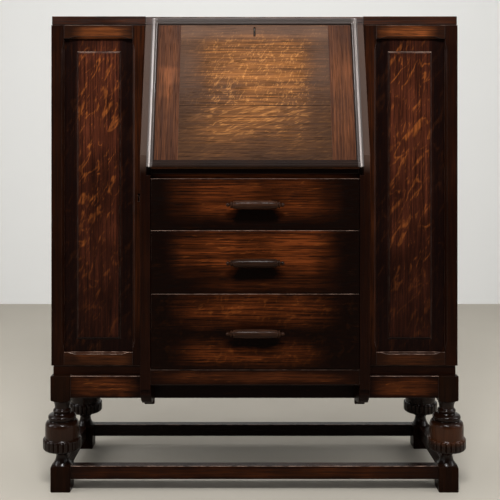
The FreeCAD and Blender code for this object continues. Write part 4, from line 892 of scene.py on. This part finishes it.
def handle_post(bm, x, level):
    """An oval post that widens towards the drawer."""
    rings = []
    for share, spread in POST_FLARE:
        y = HANDLE_Y + (DRAWER_FACE_Y - HANDLE_Y) * share
        wide, high = POST_HALF_WIDTH * spread, POST_HALF_HEIGHT * spread
        rings.append([(wide * math.cos(angle), y, high * math.sin(angle))
                      for angle in angles(POST_STEPS)])
    skin(bm, rings, Vector((x, 0, level)))


def turned_handles():
    material = oak("oak_handles", GRIP, "x", base=0.14, seed=18.8, gloss=0.24, shine=0.06)
    for count, level in enumerate(HANDLE_LEVELS, 1):
        bm = bmesh.new()
        turned_bar(bm, level)
        for x in (-POST_X, POST_X):
            handle_post(bm, x, level)
        piece = new_piece("turned_handle_%d" % count, bm, (material,))
        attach(piece, "drawer_%d" % count)
        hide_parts("drawer_%d_handle" % count)


def stage_surface(name, corners, shade, spread):
    """A plain pale surface of the studio, with a faint unevenness."""
    mesh = bpy.data.meshes.new(name)
    mesh.from_pydata(corners, [], [(0, 1, 2, 3)])
    surface = bpy.data.objects.new(name, mesh)
    bpy.context.scene.collection.objects.link(surface)
    graph = Graph.material(name + "_paint")
    soft = graph.noise(graph.place(), scale=(3, 3, 3), detail=3)
    low = [level - spread for level in shade]
    high = [level + spread for level in shade]
    paint = graph.blend(soft, colour(*low), colour(*high))
    mesh.materials.append(graph.finish(Base_Color=paint, Roughness=0.75, Specular_IOR_Level=0.2))


def stage():
    """A floor that meets an upright backdrop behind the bureau."""
    side, near, far, top = 9.0, -9.0, 2.42, 5.0
    floor = [(-side, near, 0), (side, near, 0), (side, far, 0), (-side, far, 0)]
    backdrop = [(-side, far, 0), (side, far, 0), (side, far, top), (-side, far, top)]
    stage_surface("floor", floor, shade=(168, 162, 151), spread=2)
    stage_surface("backdrop", backdrop, shade=(226, 226, 224), spread=1)


def daylight():
    """A soft room, pale at the sides, overhead and behind the bureau, and dim elsewhere."""
    world = bpy.data.worlds.new("studio")
    bpy.context.scene.world = world
    graph = Graph(world, "Background")
    axes = graph.axes(graph.coordinates("Generated"))
    aside = graph.steps(graph.unsigned(axes["X"]), 0.45, 0.9, to_low=0.0, to_high=0.4)
    above = graph.steps(axes["Z"], 0.6, 0.9, to_low=0.0, to_high=0.55)
    behind = graph.steps(axes["Y"], 0.1, 0.7, to_low=0.0, to_high=0.5)
    everywhere = 0.09
    level = graph.calc("ADD", graph.calc("ADD", aside, above),
                       graph.calc("ADD", behind, everywhere))
    graph.finish(Color=(1.0, 1.0, 1.0, 1.0), Strength=level)


def lamp(name, place, aim, size, power):
    """A soft rectangular lamp, unseen by the camera."""
    data = bpy.data.lights.new(name, "AREA")
    data.shape = "RECTANGLE"
    data.size, data.size_y = size
    data.energy = power
    lamp_object = bpy.data.objects.new(name, data)
    lamp_object.location = place
    lamp_object.visible_camera = False
    towards = Vector(aim) - Vector(place)
    lamp_object.rotation_euler = towards.to_track_quat("-Z", "Y").to_euler()
    bpy.context.scene.collection.objects.link(lamp_object)


def lamps():
    """Two weak lamps in front, a tall one on each side, one overhead and one on the backdrop."""
    front, window = (1.0, 1.2), (0.7, 1.8)
    lamp("left_front", (-2.4, -2.3, 1.7), aim=(0, -0.1, 0.7), size=front, power=11)
    lamp("right_front", (2.4, -2.3, 1.7), aim=(0, -0.1, 0.7), size=front, power=5)
    lamp("left_window", (-2.4, -0.4, 1.5), aim=(0, -0.1, 0.9), size=window, power=32)
    lamp("right_window", (2.4, -0.4, 1.5), aim=(0, -0.1, 0.9), size=window, power=26)
    lamp("overhead", (0, -2.1, 2.9), aim=(0, -0.2, 0.8), size=(0.9, 0.4), power=92)
    lamp("wall", (0, 0.3, 4.2), aim=(0, 2.4, 1.2), size=(4.0, 1.0), power=36)


def camera():
    """Level with the writing bed, and shifted down to take in the feet."""
    data = bpy.data.cameras.new("camera")
    data.sensor_width = 36
    data.lens = 58.5
    data.shift_x = 0.0141
    data.shift_y = -0.1876
    eye = bpy.data.objects.new("camera", data)
    eye.location = (-0.0283, -2.108, 0.8235)
    eye.rotation_euler = (QUARTER_TURN, 0, 0)
    bpy.context.scene.collection.objects.link(eye)
    bpy.context.scene.camera = eye


camera()
pale_wear_and_highlight = worn_and_lit_arris()
dress(stand_looks(), CASE_ARRIS, pale_wear_and_highlight)
dress(case_looks(), CASE_ARRIS, pale_wear_and_highlight)
dress(bureau_looks(), CASE_ARRIS)
dress(rail_looks(), FINE_ARRIS, pale_wear_and_highlight)
dress(door_looks("left", seed=1.1), FINE_ARRIS, pale_wear_and_highlight)
dress(door_looks("right", seed=5.7), FINE_ARRIS, pale_wear_and_highlight)
dress(drawer_looks(), DRAWER_ARRIS, pale_wear_and_highlight)
dress(fall_looks(), FINE_ARRIS, pale_wear_and_highlight)
dress(inside_looks(), INSIDE_ARRIS)
dress(metal_looks())
turned_legs()
turned_handles()
stage()
daylight()
lamps()
bpy.context.scene.view_settings.view_transform = "Standard"
